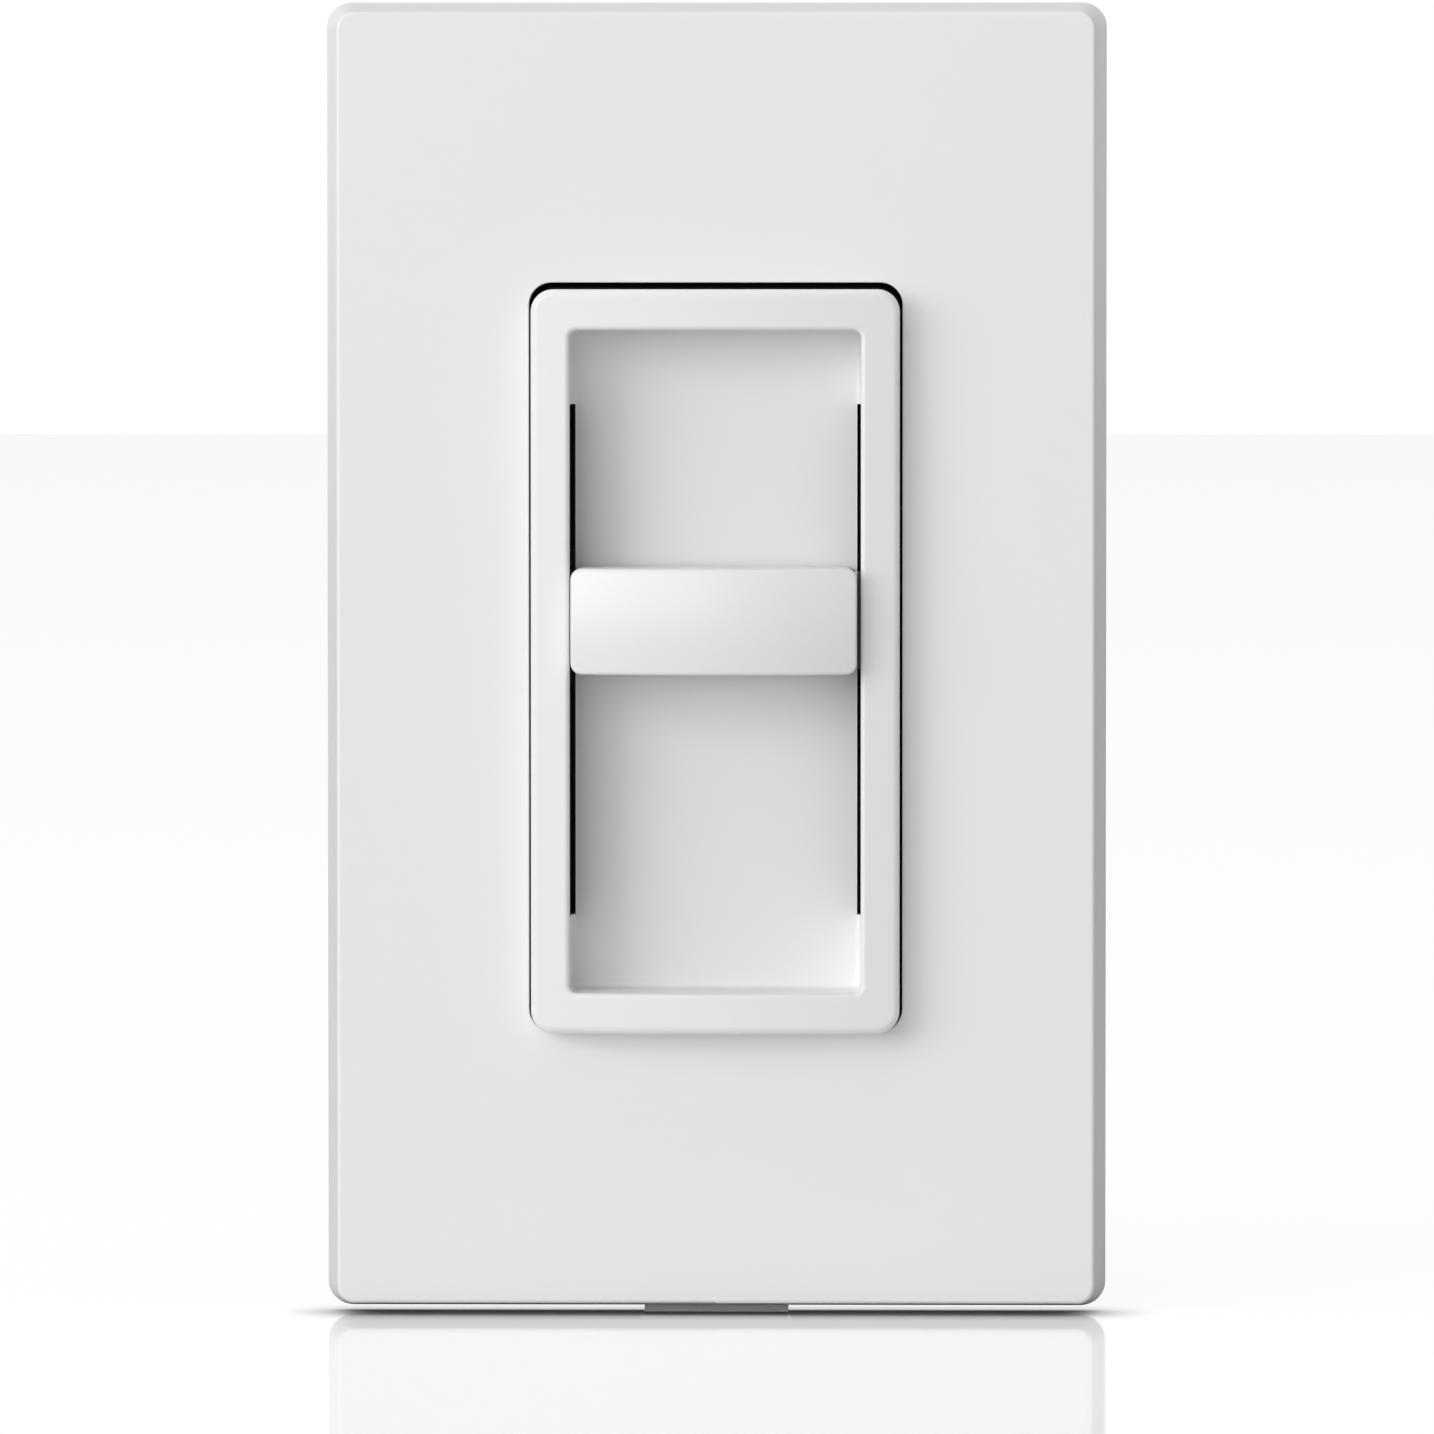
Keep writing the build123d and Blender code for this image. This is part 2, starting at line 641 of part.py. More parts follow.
def screw_retainers():
    """Two fibre washers behind the strap that keep the mounting screws captive."""
    washers = []
    for end in (-1, 1):
        z = end * MOUNT_SPACING / 2
        outline = Pos(0, z) * RectangleRounded(RETAINER_SIZE, RETAINER_SIZE, RETAINER_R)
        washer = slab(outline, MOUNT_NECK_END, WALL)
        washers.append(washer - pillar(MOUNT_NECK_R, 0, z, WALL - OVER, MOUNT_NECK_END + OVER))
    return washers


def ground_screw():
    """The hexagonal ground screw on the back of the strap."""
    hexagon = Pos(GROUND_X, GROUND_Z) * RegularPolygon(GROUND_HEAD_R, 6)
    head = slab(hexagon, GROUND_HEAD_T, WALL)
    shank = pillar(GROUND_R, GROUND_X, GROUND_Z, STRAP_FRONT, WALL)
    return head + shank - cross_recess(GROUND_X, GROUND_Z, GROUND_HEAD_T, -1)


# Housing and terminals

def rear_housing():
    """The moulded case behind the strap, with corner columns and two terminal pockets."""
    case = slab(RectangleRounded(HOUSING_W, HOUSING_H, HOUSING_R), HOUSING_BACK, WALL)
    case = fillet(case.faces().sort_by(Axis.Y)[-1].edges(), HOUSING_FILLET)
    inner_w = HOUSING_W - 2 * HOUSING_WALL
    inner_h = HOUSING_H - 2 * HOUSING_WALL
    inner_back = HOUSING_BACK - HOUSING_WALL
    case -= slab(RectangleRounded(inner_w, inner_h, HOUSING_INNER_R), inner_back, WALL)
    for side in (-1, 1):
        for end in (-1, 1):
            case += pillar(COLUMN_R, side * COLUMN_X, end * COLUMN_Z, WALL, inner_back)
            ledge_x = sorted((side * inner_w / 2, side * (inner_w / 2 - LEDGE_T)))
            ledge_z = (end * LEDGE_Z - LEDGE_H / 2, end * LEDGE_Z + LEDGE_H / 2)
            case += block(ledge_x, (BOARD_BACK, inner_back), ledge_z)
    for end in (-1, 1):
        case += terminal_pod(end * TERMINAL_Z, inner_w / 2)
        case -= terminal_pocket(end * TERMINAL_Z)
    for side in (-1, 1):
        for end in (-1, 1):
            x = side * COLUMN_X
            z = end * COLUMN_Z
            case -= pillar(HOUSING_SCREW_R + CLEARANCE / 2, x, z, WALL, HOUSING_BACK)
            case -= pillar(COUNTERBORE_R, x, z, HOUSING_BACK - COUNTERBORE_DEPTH, HOUSING_BACK)
    case += grip_ribs()
    lip_w = HOUSING_W + 2 * HOUSING_LIP_REACH
    lip_h = HOUSING_H + 2 * HOUSING_LIP_REACH
    lip = slab(RectangleRounded(lip_w, lip_h, HOUSING_R), HOUSING_LIP_DEPTH, WALL)
    case += lip - slab(RectangleRounded(HOUSING_W, HOUSING_H, HOUSING_R), HOUSING_LIP_DEPTH, WALL)
    for side in (-1, 1):
        case -= wire_funnel(side * WIRE_HOLE_X)
    panel = RectangleRounded(PANEL_W, PANEL_H, PANEL_R)
    case -= slab(panel, HOUSING_BACK, HOUSING_BACK - PANEL_DEPTH)
    gauge = Pos(GAUGE_X, 0) * RectangleRounded(GAUGE_W, GAUGE_L, PANEL_R)
    case -= slab(gauge, HOUSING_BACK, HOUSING_BACK - 2 * PANEL_DEPTH)
    return case


def grip_ribs():
    """Short level ribs on the housing's plain side."""
    ribs = Part()
    rib_x = (-HOUSING_W / 2 - GRIP_REACH, -HOUSING_W / 2)
    for i in range(GRIP_RIBS):
        z = (i - (GRIP_RIBS - 1) / 2) * GRIP_PITCH
        ribs += block(rib_x, GRIP_Y, (z - GRIP_T / 2, z + GRIP_T / 2))
    return ribs


def wire_funnel(x):
    """A blind test-probe hole in the back, with a flared mouth."""
    deep = HOUSING_BACK - WIRE_HOLE_DEPTH
    return rod(WIRE_HOLE_R, (x, deep, -WIRE_HOLE_Z), (x, HOUSING_BACK, -WIRE_HOLE_Z), WIRE_FUNNEL_R)


def terminal_pod(z, wall_x):
    """The inner box around one terminal pocket."""
    return block((POD_INNER_X, wall_x), (WALL, POD_BACK), (z - POD_HALF_H, z + POD_HALF_H))


def terminal_pocket(z):
    """The space for one terminal: the pocket, the screw's hole and the tail's slot."""
    pocket_z = (z - POCKET_HALF_H, z + POCKET_HALF_H)
    pocket = block((POCKET_INNER_X, HOUSING_W), (POCKET_FRONT, POCKET_BACK), pocket_z)
    hole_start = (POD_INNER_X - OVER, TERMINAL_SCREW_Y, z)
    pocket += rod(TERMINAL_SCREW_R + CLEARANCE, hole_start, (HOUSING_W, TERMINAL_SCREW_Y, z))
    tail_x = (POCKET_INNER_X, POCKET_INNER_X + TERMINAL_T + CLEARANCE)
    tail_half = TAIL_W / 2 + CLEARANCE
    return pocket + block(tail_x, (POCKET_BACK, POD_BACK + OVER), (z - tail_half, z + tail_half))


def terminal_plate(z):
    """A brass plate with a threaded hole and a tail that is soldered into the board."""
    x = (POCKET_INNER_X, POCKET_INNER_X + TERMINAL_T)
    plate = block(x, (TERMINAL_FRONT, TERMINAL_BACK), (z - TERMINAL_HALF_H, z + TERMINAL_HALF_H))
    plate += block(x, (TERMINAL_BACK, TAIL_BACK), (z - TAIL_W / 2, z + TAIL_W / 2))
    return plate - rod(TERMINAL_SCREW_R, (0, TERMINAL_SCREW_Y, z), (HOUSING_W, TERMINAL_SCREW_Y, z))


def line_terminal():
    return terminal_plate(TERMINAL_Z)


def load_terminal():
    return terminal_plate(-TERMINAL_Z)


def terminal_screws():
    """Two binding screws, whose heads clamp a wire against the brass plates."""
    screws = []
    seat_x = POCKET_INNER_X + TERMINAL_T
    head_x = seat_x + TERMINAL_HEAD_T
    half_l = TERMINAL_HEAD_R + OVER
    half_w = DRIVE_W / 2
    for end in (-1, 1):
        z = end * TERMINAL_Z
        head = rod(TERMINAL_HEAD_R, (seat_x, TERMINAL_SCREW_Y, z), (head_x, TERMINAL_SCREW_Y, z))
        head = fillet(head.edges().sort_by(Axis.X)[-1], MOUNT_HEAD_FILLET)
        tip = (TERMINAL_SCREW_TIP, TERMINAL_SCREW_Y, z)
        shank = rod(TERMINAL_SCREW_R, tip, (seat_x, TERMINAL_SCREW_Y, z))
        slot_y = (TERMINAL_SCREW_Y - half_l, TERMINAL_SCREW_Y + half_l)
        slot = block((head_x - DRIVE_DEPTH, head_x + OVER), slot_y, (z - half_w, z + half_w))
        screws.append(head + shank - slot)
    return screws


def housing_screws():
    """Four long screws from the back of the housing into the strap."""
    screws = []
    seat = HOUSING_BACK - COUNTERBORE_DEPTH
    for side in (-1, 1):
        for end in (-1, 1):
            x = side * COLUMN_X
            z = end * COLUMN_Z
            head = pillar(HOUSING_HEAD_R, x, z, seat, seat + HOUSING_HEAD_T)
            head = fillet(head.edges().sort_by(Axis.Y)[-1], BAR_FILLET)
            shank = pillar(HOUSING_SCREW_R, x, z, STRAP_FRONT, seat)
            screws.append(head + shank - cross_recess(x, z, seat + HOUSING_HEAD_T, -1))
    return screws


# Circuit board, potentiometer and switch

def circuit_board():
    """The board across the housing, with holes for every lead and tail that passes it."""
    board_z = (BOARD_BOTTOM, BOARD_TOP)
    board = block((-BOARD_W / 2, BOARD_W / 2), (BOARD_FRONT, BOARD_BACK), board_z)
    for side in (-1, 1):
        for end in (-1, 1):
            board -= pillar(BOARD_CORNER_R, side * COLUMN_X, end * COLUMN_Z, BOARD_FRONT, BOARD_BACK)
            corner_x = sorted((side * COLUMN_X, side * BOARD_W))
            corner_z = sorted((end * (COLUMN_Z - BOARD_CORNER_R), end * BOARD_W))
            board -= block(corner_x, (BOARD_FRONT, BOARD_BACK), corner_z)
    for through in (line_terminal(), load_terminal(), line_rail(), load_rail(), triac_leads()):
        board -= through
    return board


def potentiometer_case():
    """The folded metal case, open towards the board, with a slot for the lever."""
    case_x = (POT_X - POT_W / 2, POT_X + POT_W / 2)
    case = block(case_x, (POT_FRONT, BOARD_FRONT), (-POT_H / 2, POT_H / 2))
    inner_x = (case_x[0] + POT_WALL, case_x[1] - POT_WALL)
    inner_z = (-POT_H / 2 + POT_WALL, POT_H / 2 - POT_WALL)
    case -= block(inner_x, (POT_FRONT + POT_WALL, BOARD_FRONT), inner_z)
    slot = Pos(POT_X, 0) * Rectangle(POT_SLOT_W, POT_SLOT_H)
    return case - slab(slot, BOARD_FRONT, WALL)


def potentiometer_track():
    """The strip that carries the resistive track, on the board inside the case."""
    half_h = POT_H / 2 - TRACK_MARGIN
    track_x = (POT_X - TRACK_W / 2, POT_X + TRACK_W / 2)
    return block(track_x, (TRACK_FRONT, BOARD_FRONT), (-half_h, half_h))


def potentiometer_lever():
    """The stem in the carrier's fork, and the block that slides inside the case."""
    stem_x = (POT_X - LEVER_T / 2, POT_X + LEVER_T / 2)
    lever = block(stem_x, (LEVER_FRONT, LEVER_BLOCK_FRONT), (-LEVER_H / 2, LEVER_H / 2))
    block_x = (POT_X - LEVER_BLOCK_W / 2, POT_X + LEVER_BLOCK_W / 2)
    block_z = (-LEVER_BLOCK_H / 2, LEVER_BLOCK_H / 2)
    lever += block(block_x, (LEVER_BLOCK_FRONT, LEVER_BLOCK_BACK), block_z)
    return Pos(0, 0, REST_Z) * lever


def spring_leaf(back, reach, thickness, length):
    """Side view of a bent leaf: flat against y = back, with one end bent down to y = reach."""
    half = length / 2
    return (
        (back, half),
        (back, -half),
        (reach, half / 2),
        (reach, half),
        (reach - thickness, half),
        (back + 2 * thickness, -half / 2),
        (back + thickness, half),
    )


def potentiometer_wiper():
    """Two spring fingers under the lever's block, joined by a flat bridge."""
    reach = TRACK_FRONT - CONTACT_GAP
    profile = spring_leaf(LEVER_BLOCK_BACK, reach, WIPER_T, WIPER_H)
    bridge_x = (POT_X - WIPER_X[1], POT_X + WIPER_X[1])
    bridge_y = (LEVER_BLOCK_BACK, LEVER_BLOCK_BACK + WIPER_T)
    wiper = block(bridge_x, bridge_y, (-WIPER_W, WIPER_W))
    for x in WIPER_X:
        wiper += leaf(profile, POT_X + x, WIPER_W)
    return Pos(0, 0, REST_Z) * wiper


def contact_rail(x, bottom):
    """A brass rail on the front of the board, with a pin at each end."""
    rail_x = (x - RAIL_W / 2, x + RAIL_W / 2)
    rail = block(rail_x, (RAIL_FRONT, BOARD_FRONT), (bottom, RAIL_TOP))
    rail += block(rail_x, (BOARD_FRONT, RAIL_PIN_BACK), (bottom, bottom + RAIL_PIN_W))
    return rail + block(rail_x, (BOARD_FRONT, RAIL_PIN_BACK), (RAIL_TOP - RAIL_PIN_W, RAIL_TOP))


def line_rail():
    return contact_rail(RAIL_X[0], LINE_RAIL_BOTTOM)


def load_rail():
    """Shorter than the line rail, so that the bridge leaves it at the bottom of the travel."""
    return contact_rail(RAIL_X[1], LOAD_RAIL_BOTTOM)


def bridging_contact():
    """The sprung leaf on the carrier that joins the two rails."""
    profile = spring_leaf(CARRIER_BACK, RAIL_FRONT - CONTACT_GAP, BRIDGE_T, BRIDGE_H)
    bridge = block(RAIL_X, (CARRIER_BACK, CARRIER_BACK + BRIDGE_T), (-RAIL_W, RAIL_W))
    for x in RAIL_X:
        bridge += leaf(profile, x, RAIL_W)
    return Pos(0, 0, REST_Z) * bridge


# Triac on the strap's tongue

def triac_leads():
    """Three leads from the triac's body through the board."""
    middle = TONGUE_TOP + PAD_T + TRIAC_T / 2
    leads = Part()
    for i in (-1, 0, 1):
        lead_x = (i * LEAD_PITCH - LEAD_T / 2, i * LEAD_PITCH + LEAD_T / 2)
        leads += block(lead_x, (LEAD_FRONT, TRIAC_FRONT), (middle - LEAD_T / 2, middle + LEAD_T / 2))
    return leads


def triac():
    """The triac: a moulded body on a metal tab with a hole."""
    bottom = TONGUE_TOP + PAD_T
    body = block((-TRIAC_W / 2, TRIAC_W / 2), (TRIAC_FRONT, TRIAC_BODY_BACK), (bottom, bottom + TRIAC_T))
    tab_y = (TRIAC_BODY_BACK, TRIAC_TAB_BACK)
    tab = block((-TRIAC_W / 2, TRIAC_W / 2), tab_y, (bottom, bottom + TRIAC_TAB_T))
    tab -= rod(TRIAC_HOLE_R, (0, TRIAC_HOLE_Y, bottom - OVER), (0, TRIAC_HOLE_Y, bottom + TRIAC_T))
    return body + tab + triac_leads()


def insulating_pad():
    """The thin pad between the triac's tab and the tongue."""
    pad_x = (-TRIAC_W / 2 - PAD_MARGIN, TRIAC_W / 2 + PAD_MARGIN)
    pad = block(pad_x, (TRIAC_FRONT, TONGUE_BACK), (TONGUE_TOP, TONGUE_TOP + PAD_T))
    return pad - triac_rivet_shank()


def triac_rivet_shank():
    """The rivet's shank, from the tongue's underside to the top of the tab."""
    top = TONGUE_TOP + PAD_T + TRIAC_TAB_T
    return rod(RIVET_R, (0, TRIAC_HOLE_Y, TONGUE_TOP - TONGUE_T), (0, TRIAC_HOLE_Y, top))


def triac_rivet():
    """The rivet that clamps the triac and its pad to the tongue."""
    top = TONGUE_TOP + PAD_T + TRIAC_TAB_T
    head = rod(RIVET_HEAD_R, (0, TRIAC_HOLE_Y, top), (0, TRIAC_HOLE_Y, top + RIVET_HEAD_T))
    head = fillet(head.edges().sort_by(Axis.Z)[-1], MOUNT_HEAD_FILLET)
    return head + triac_rivet_shank()


# Filter and timing parts behind the board

def ring(radius, hole_radius, front, back):
    """A flat ring around the choke's axis."""
    hole = pillar(hole_radius, CHOKE_X, CHOKE_Z, front - OVER, back + OVER)
    return pillar(radius, CHOKE_X, CHOKE_Z, front, back) - hole


def choke_core():
    """The iron-powder ring of the interference choke."""
    return ring(CHOKE_R, CHOKE_HOLE_R, CHOKE_FRONT, CHOKE_FRONT + CHOKE_T)


def choke_winding():
    """The winding around the ring, as one skin that leaves a gap for its two ends."""
    back = CHOKE_FRONT + CHOKE_T + WINDING_T
    skin = ring(CHOKE_R + WINDING_T, CHOKE_HOLE_R - WINDING_T, CHOKE_FRONT - WINDING_T, back)
    skin -= choke_core()
    half_gap = (360 - WINDING_ARC) / 2
    reach = 2 * CHOKE_R
    wedge = make_face(Polyline((0, 0), *gap_corners(reach, half_gap), close=True))
    return skin - slab(Pos(CHOKE_X, CHOKE_Z) * wedge, back, WALL)


def gap_corners(reach, half_angle):
    """The two outer corners of the gap's wedge, which opens downwards."""
    corners = []
    for side in (-1, 1):
        direction = Vector(0, -reach, 0).rotate(Axis.Z, side * half_angle)
        corners.append((direction.X, direction.Y))
    return corners


def interference_capacitor():
    """The boxed film capacitor, with two leads into the board."""
    front = BOARD_BACK + COMPONENT_STANDOFF
    body_x = (CAP_X - CAP_W / 2, CAP_X + CAP_W / 2)
    body = block(body_x, (front, front + CAP_T), (CAP_Z - CAP_H / 2, CAP_Z + CAP_H / 2))
    body = fillet(body.edges().filter_by(Axis.Y), CAP_FILLET)
    for end in (-1, 1):
        body += pillar(WIRE_R, CAP_X, CAP_Z + end * CAP_LEAD_Z, BOARD_BACK, front)
    return body


def timing_capacitor():
    """The small film capacitor that sets the firing angle."""
    front = BOARD_BACK + COMPONENT_STANDOFF
    body_x = (TIMING_X - TIMING_W / 2, TIMING_X + TIMING_W / 2)
    body = block(body_x, (front, front + TIMING_T), (TIMING_Z - TIMING_H / 2, TIMING_Z + TIMING_H / 2))
    body = fillet(body.edges().filter_by(Axis.Y), CAP_FILLET)
    for side in (-1, 1):
        body += pillar(WIRE_R, TIMING_X + side * TIMING_LEAD_X, TIMING_Z, BOARD_BACK, front)
    return body


def axial_part(x, z, radius, length):
    """A small round part lying along X on the board, with a bent lead at each end."""
    y = BOARD_BACK + radius + COMPONENT_STANDOFF
    body = rod(radius, (x - length / 2, y, z), (x + length / 2, y, z))
    for side in (-1, 1):
        end_x = x + side * (length / 2 + WIRE_REACH)
        body += rod(WIRE_R, (x, y, z), (end_x, y, z))
        body += Pos(end_x, y, z) * Sphere(WIRE_R)
        body += pillar(WIRE_R, end_x, z, BOARD_BACK, y)
    return body


def diac():
    return axial_part(DIAC_X, DIAC_Z, DIAC_R, DIAC_L)


def resistors():
    return [axial_part(RESISTOR_X, z, RESISTOR_R, RESISTOR_L) for z in RESISTOR_Z]


PIECES = (
    wallplate_cover,
    wallplate_bracket,
    wallplate_screws,
    bezel,
    light_seal,
    slot_liners,
    slide_bar,
    slide_carrier,
    mounting_strap,
    mounting_screws,
    screw_retainers,
    ground_screw,
    rear_housing,
    housing_screws,
    line_terminal,
    load_terminal,
    terminal_screws,
    circuit_board,
    potentiometer_case,
    potentiometer_track,
    potentiometer_lever,
    potentiometer_wiper,
    line_rail,
    load_rail,
    bridging_contact,
    triac,
    insulating_pad,
    triac_rivet,
    choke_core,
    choke_winding,
    interference_capacitor,
    timing_capacitor,
    diac,
    resistors,
)

os.makedirs("parts", exist_ok=True)
for make_piece in PIECES:
    shape = make_piece()
    if isinstance(shape, list):
        shape = Compound(children=[solid for item in shape for solid in item.solids()])
    export_step(shape, f"parts/{make_piece.__name__}.step")
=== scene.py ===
import math

import bmesh
import bpy
from mathutils import Matrix, Vector


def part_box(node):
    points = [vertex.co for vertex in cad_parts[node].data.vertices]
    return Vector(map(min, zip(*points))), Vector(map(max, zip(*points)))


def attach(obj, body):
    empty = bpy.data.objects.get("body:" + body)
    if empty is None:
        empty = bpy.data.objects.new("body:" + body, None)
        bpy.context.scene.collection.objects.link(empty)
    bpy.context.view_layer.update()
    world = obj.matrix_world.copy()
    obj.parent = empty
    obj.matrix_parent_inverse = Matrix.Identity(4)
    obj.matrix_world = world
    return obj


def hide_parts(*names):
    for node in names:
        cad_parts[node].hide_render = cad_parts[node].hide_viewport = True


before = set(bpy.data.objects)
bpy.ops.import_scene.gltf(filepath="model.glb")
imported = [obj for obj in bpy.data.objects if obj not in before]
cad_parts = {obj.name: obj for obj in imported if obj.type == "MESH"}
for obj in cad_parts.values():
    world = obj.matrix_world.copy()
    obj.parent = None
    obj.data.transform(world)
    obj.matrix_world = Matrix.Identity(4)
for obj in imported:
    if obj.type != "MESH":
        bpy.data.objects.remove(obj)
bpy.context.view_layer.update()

MM = 0.001


# Camera, floor and light

CAMERA_DISTANCE = 996.5 * MM
CAMERA_AZIMUTH = math.radians(0.9)
CAMERA_ELEVATION = math.radians(2.2)
CAMERA_LENS = 280.5
CAMERA_SENSOR = 36
CAMERA_CLIP_START = 0.01
CAMERA_BELOW_CENTRE = 5.02 * MM
CAMERA_RIGHT_OF_CENTRE = 0.12 * MM

# Name, azimuth and elevation in degrees, power in watts
LIGHTS = (
    ("light_left", -51, 10, 30.5),
    ("light_front", -17, 10, 16.0),
    ("light_high", -30, 40, 8.5),
    ("light_top", -20, 83, 12.0),
    ("light_right", 70, 10, 4.8),
)
LIGHT_DISTANCE = 2.5
LIGHT_SIZE = 1.67

# The surround's strength where it is seen or mirrored, and as a light on the switch
WORLD_SEEN = 1.0
WORLD_LIGHT = 0.19

# The floor's own glow and its white for the eye, its white for the light that it sends back, how
# near a thing has to be to darken it with painted shade, and its share and softness of mirror image
FLOOR_SIZE = 12
FLOOR_GLOW = 0.97
FLOOR_SEEN = 0.28
FLOOR_ALBEDO = 0.85
FLOOR_SHADE = 5 * MM
FLOOR_REFLECTION = 0.48
FLOOR_MIRROR_ROUGHNESS = 0.05


def direction(azimuth, elevation):
    """The way to a point seen from the origin; azimuth 0 is in front and turns to the right."""
    return Vector((
        math.sin(azimuth) * math.cos(elevation),
        -math.cos(azimuth) * math.cos(elevation),
        math.sin(elevation),
    ))


def facing(towards):
    """The rotation of a camera or light that looks back along a direction."""
    return (-towards).to_track_quat("-Z", "Y").to_euler()


def calculate(tree, operation, first, second=None):
    """The result of a Math node whose inputs are outputs of other nodes or numbers."""
    node = tree.nodes.new("ShaderNodeMath")
    node.operation = operation
    for socket, value in zip(node.inputs, (first, second)):
        if isinstance(value, bpy.types.NodeSocket):
            tree.links.new(value, socket)
        elif value is not None:
            socket.default_value = value
    return node.outputs["Value"]


def add_camera():
    """A long lens, a little to the right of the switch and a little above it."""
    low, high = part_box("bezel")
    target = (low + high) / 2
    target.x += CAMERA_RIGHT_OF_CENTRE
    target.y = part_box("wallplate_cover")[0].y
    target.z -= CAMERA_BELOW_CENTRE
    towards = direction(CAMERA_AZIMUTH, CAMERA_ELEVATION)
    data = bpy.data.cameras.new("camera")
    data.lens = CAMERA_LENS
    data.sensor_width = CAMERA_SENSOR
    data.clip_start = CAMERA_CLIP_START
    camera = bpy.data.objects.new("camera", data)
    camera.location = target + towards * CAMERA_DISTANCE
    camera.rotation_euler = facing(towards)
    bpy.context.scene.collection.objects.link(camera)
    bpy.context.scene.camera = camera


def add_lights():
    """Square softboxes that face the middle of the switch and aren't seen themselves."""
    for name, azimuth, elevation, power in LIGHTS:
        towards = direction(math.radians(azimuth), math.radians(elevation))
        data = bpy.data.lights.new(name, "AREA")
        data.shape = "SQUARE"
        data.size = LIGHT_SIZE
        data.energy = power
        light = bpy.data.objects.new(name, data)
        light.location = towards * LIGHT_DISTANCE
        light.rotation_euler = facing(towards)
        light.visible_camera = False
        bpy.context.scene.collection.objects.link(light)


def add_world():
    """A plain white surround, brighter to look at than it is as a light."""
    world = bpy.data.worlds.new("studio")
    bpy.context.scene.world = world
    world.use_nodes = True
    tree = world.node_tree
    background = tree.nodes["Background"]
    background.inputs["Color"].default_value = (1, 1, 1, 1)
    path = tree.nodes.new("ShaderNodeLightPath").outputs
    seen = calculate(tree, "MAXIMUM", path["Is Camera Ray"], path["Is Glossy Ray"])
    strength = tree.nodes.new("ShaderNodeMapRange")
    strength.inputs["To Min"].default_value = WORLD_LIGHT
    strength.inputs["To Max"].default_value = WORLD_SEEN
    tree.links.new(seen, strength.inputs["Value"])
    tree.links.new(strength.outputs["Result"], background.inputs["Strength"])


def floor_material():
    """White to the eye with a faint mirror image, plain white to the light, with painted shade
    under things near it.
    """
    material = bpy.data.materials.new("floor")
    material.use_nodes = True
    tree = material.node_tree
    nodes, links = tree.nodes, tree.links
    nodes.clear()

    # Painted shade: ambient occlusion darkens the floor's glow, its mirror image and the white it
    # sends back wherever a thing stands near, as a contact shadow.
    painted_shade_ao = nodes.new("ShaderNodeAmbientOcclusion")
    painted_shade_ao.inputs["Distance"].default_value = FLOOR_SHADE
    painted_shade_ao.inputs["Color"].default_value = (FLOOR_ALBEDO, FLOOR_ALBEDO, FLOOR_ALBEDO, 1)

    white = nodes.new("ShaderNodeBsdfDiffuse")
    white.inputs["Color"].default_value = (FLOOR_SEEN, FLOOR_SEEN, FLOOR_SEEN, 1)
    glow = nodes.new("ShaderNodeEmission")
    shaded_glow = calculate(tree, "MULTIPLY", painted_shade_ao.outputs["AO"], FLOOR_GLOW)
    links.new(shaded_glow, glow.inputs["Strength"])
    lit = nodes.new("ShaderNodeAddShader")
    links.new(white.outputs["BSDF"], lit.inputs[0])
    links.new(glow.outputs["Emission"], lit.inputs[1])

    mirror = nodes.new("ShaderNodeBsdfGlossy")
    mirror.inputs["Roughness"].default_value = FLOOR_MIRROR_ROUGHNESS
    links.new(painted_shade_ao.outputs["Color"], mirror.inputs["Color"])
    seen = nodes.new("ShaderNodeMixShader")
    seen.inputs["Fac"].default_value = FLOOR_REFLECTION
    links.new(lit.outputs["Shader"], seen.inputs[1])
    links.new(mirror.outputs["BSDF"], seen.inputs[2])

    unseen = nodes.new("ShaderNodeBsdfDiffuse")
    links.new(painted_shade_ao.outputs["Color"], unseen.inputs["Color"])
    either = nodes.new("ShaderNodeMixShader")
    links.new(nodes.new("ShaderNodeLightPath").outputs["Is Camera Ray"], either.inputs["Fac"])
    links.new(unseen.outputs["BSDF"], either.inputs[1])
    links.new(seen.outputs["Shader"], either.inputs[2])
    output = nodes.new("ShaderNodeOutputMaterial")
    links.new(either.outputs["Shader"], output.inputs["Surface"])
    return material


def add_floor():
    """The pale glossy surface that the plate stands on."""
    lowest = min(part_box(name)[0].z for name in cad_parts)
    bpy.ops.mesh.primitive_plane_add(size=FLOOR_SIZE, location=(0, 0, lowest))
    floor = bpy.context.object
    floor.name = "floor"
    floor.data.materials.append(floor_material())


# Materials

# Where the slide bar's arms are painted black as shade for the shadowed gap beside the bar: this
# far from its middle and behind this depth
ARM_SHADE_X = 12.62 * MM
ARM_SHADE_Y = -8.4 * MM
ARM_SHADE_EDGE = 0.02 * MM

GLASS_BLUE = (0.08, 0.18, 0.34)
LACQUER_TAN = (0.62, 0.46, 0.28)


def principled(name, colour, roughness, metallic=0.0):
    """A new material and its node tree, with the constants set on the shader's sockets."""
    material = bpy.data.materials.new(name)
    material.use_nodes = True
    shader = material.node_tree.nodes["Principled BSDF"]
    shader.inputs["Base Color"].default_value = (*colour, 1)
    shader.inputs["Roughness"].default_value = roughness
    shader.inputs["Metallic"].default_value = metallic
    return material, material.node_tree, shader


def place(tree, stretch=(1, 1, 1)):
    """Object coordinates, which lie still in the CAD frame, stretched along the axes."""
    source = tree.nodes.new("ShaderNodeTexCoord").outputs["Object"]
    mapping = tree.nodes.new("ShaderNodeMapping")
    mapping.inputs["Scale"].default_value = stretch
    tree.links.new(source, mapping.inputs["Vector"])
    return mapping.outputs["Vector"]


def coordinate(tree, axis):
    """One of the object coordinates."""
    position = tree.nodes.new("ShaderNodeSeparateXYZ")
    tree.links.new(place(tree), position.inputs["Vector"])
    return position.outputs[axis]


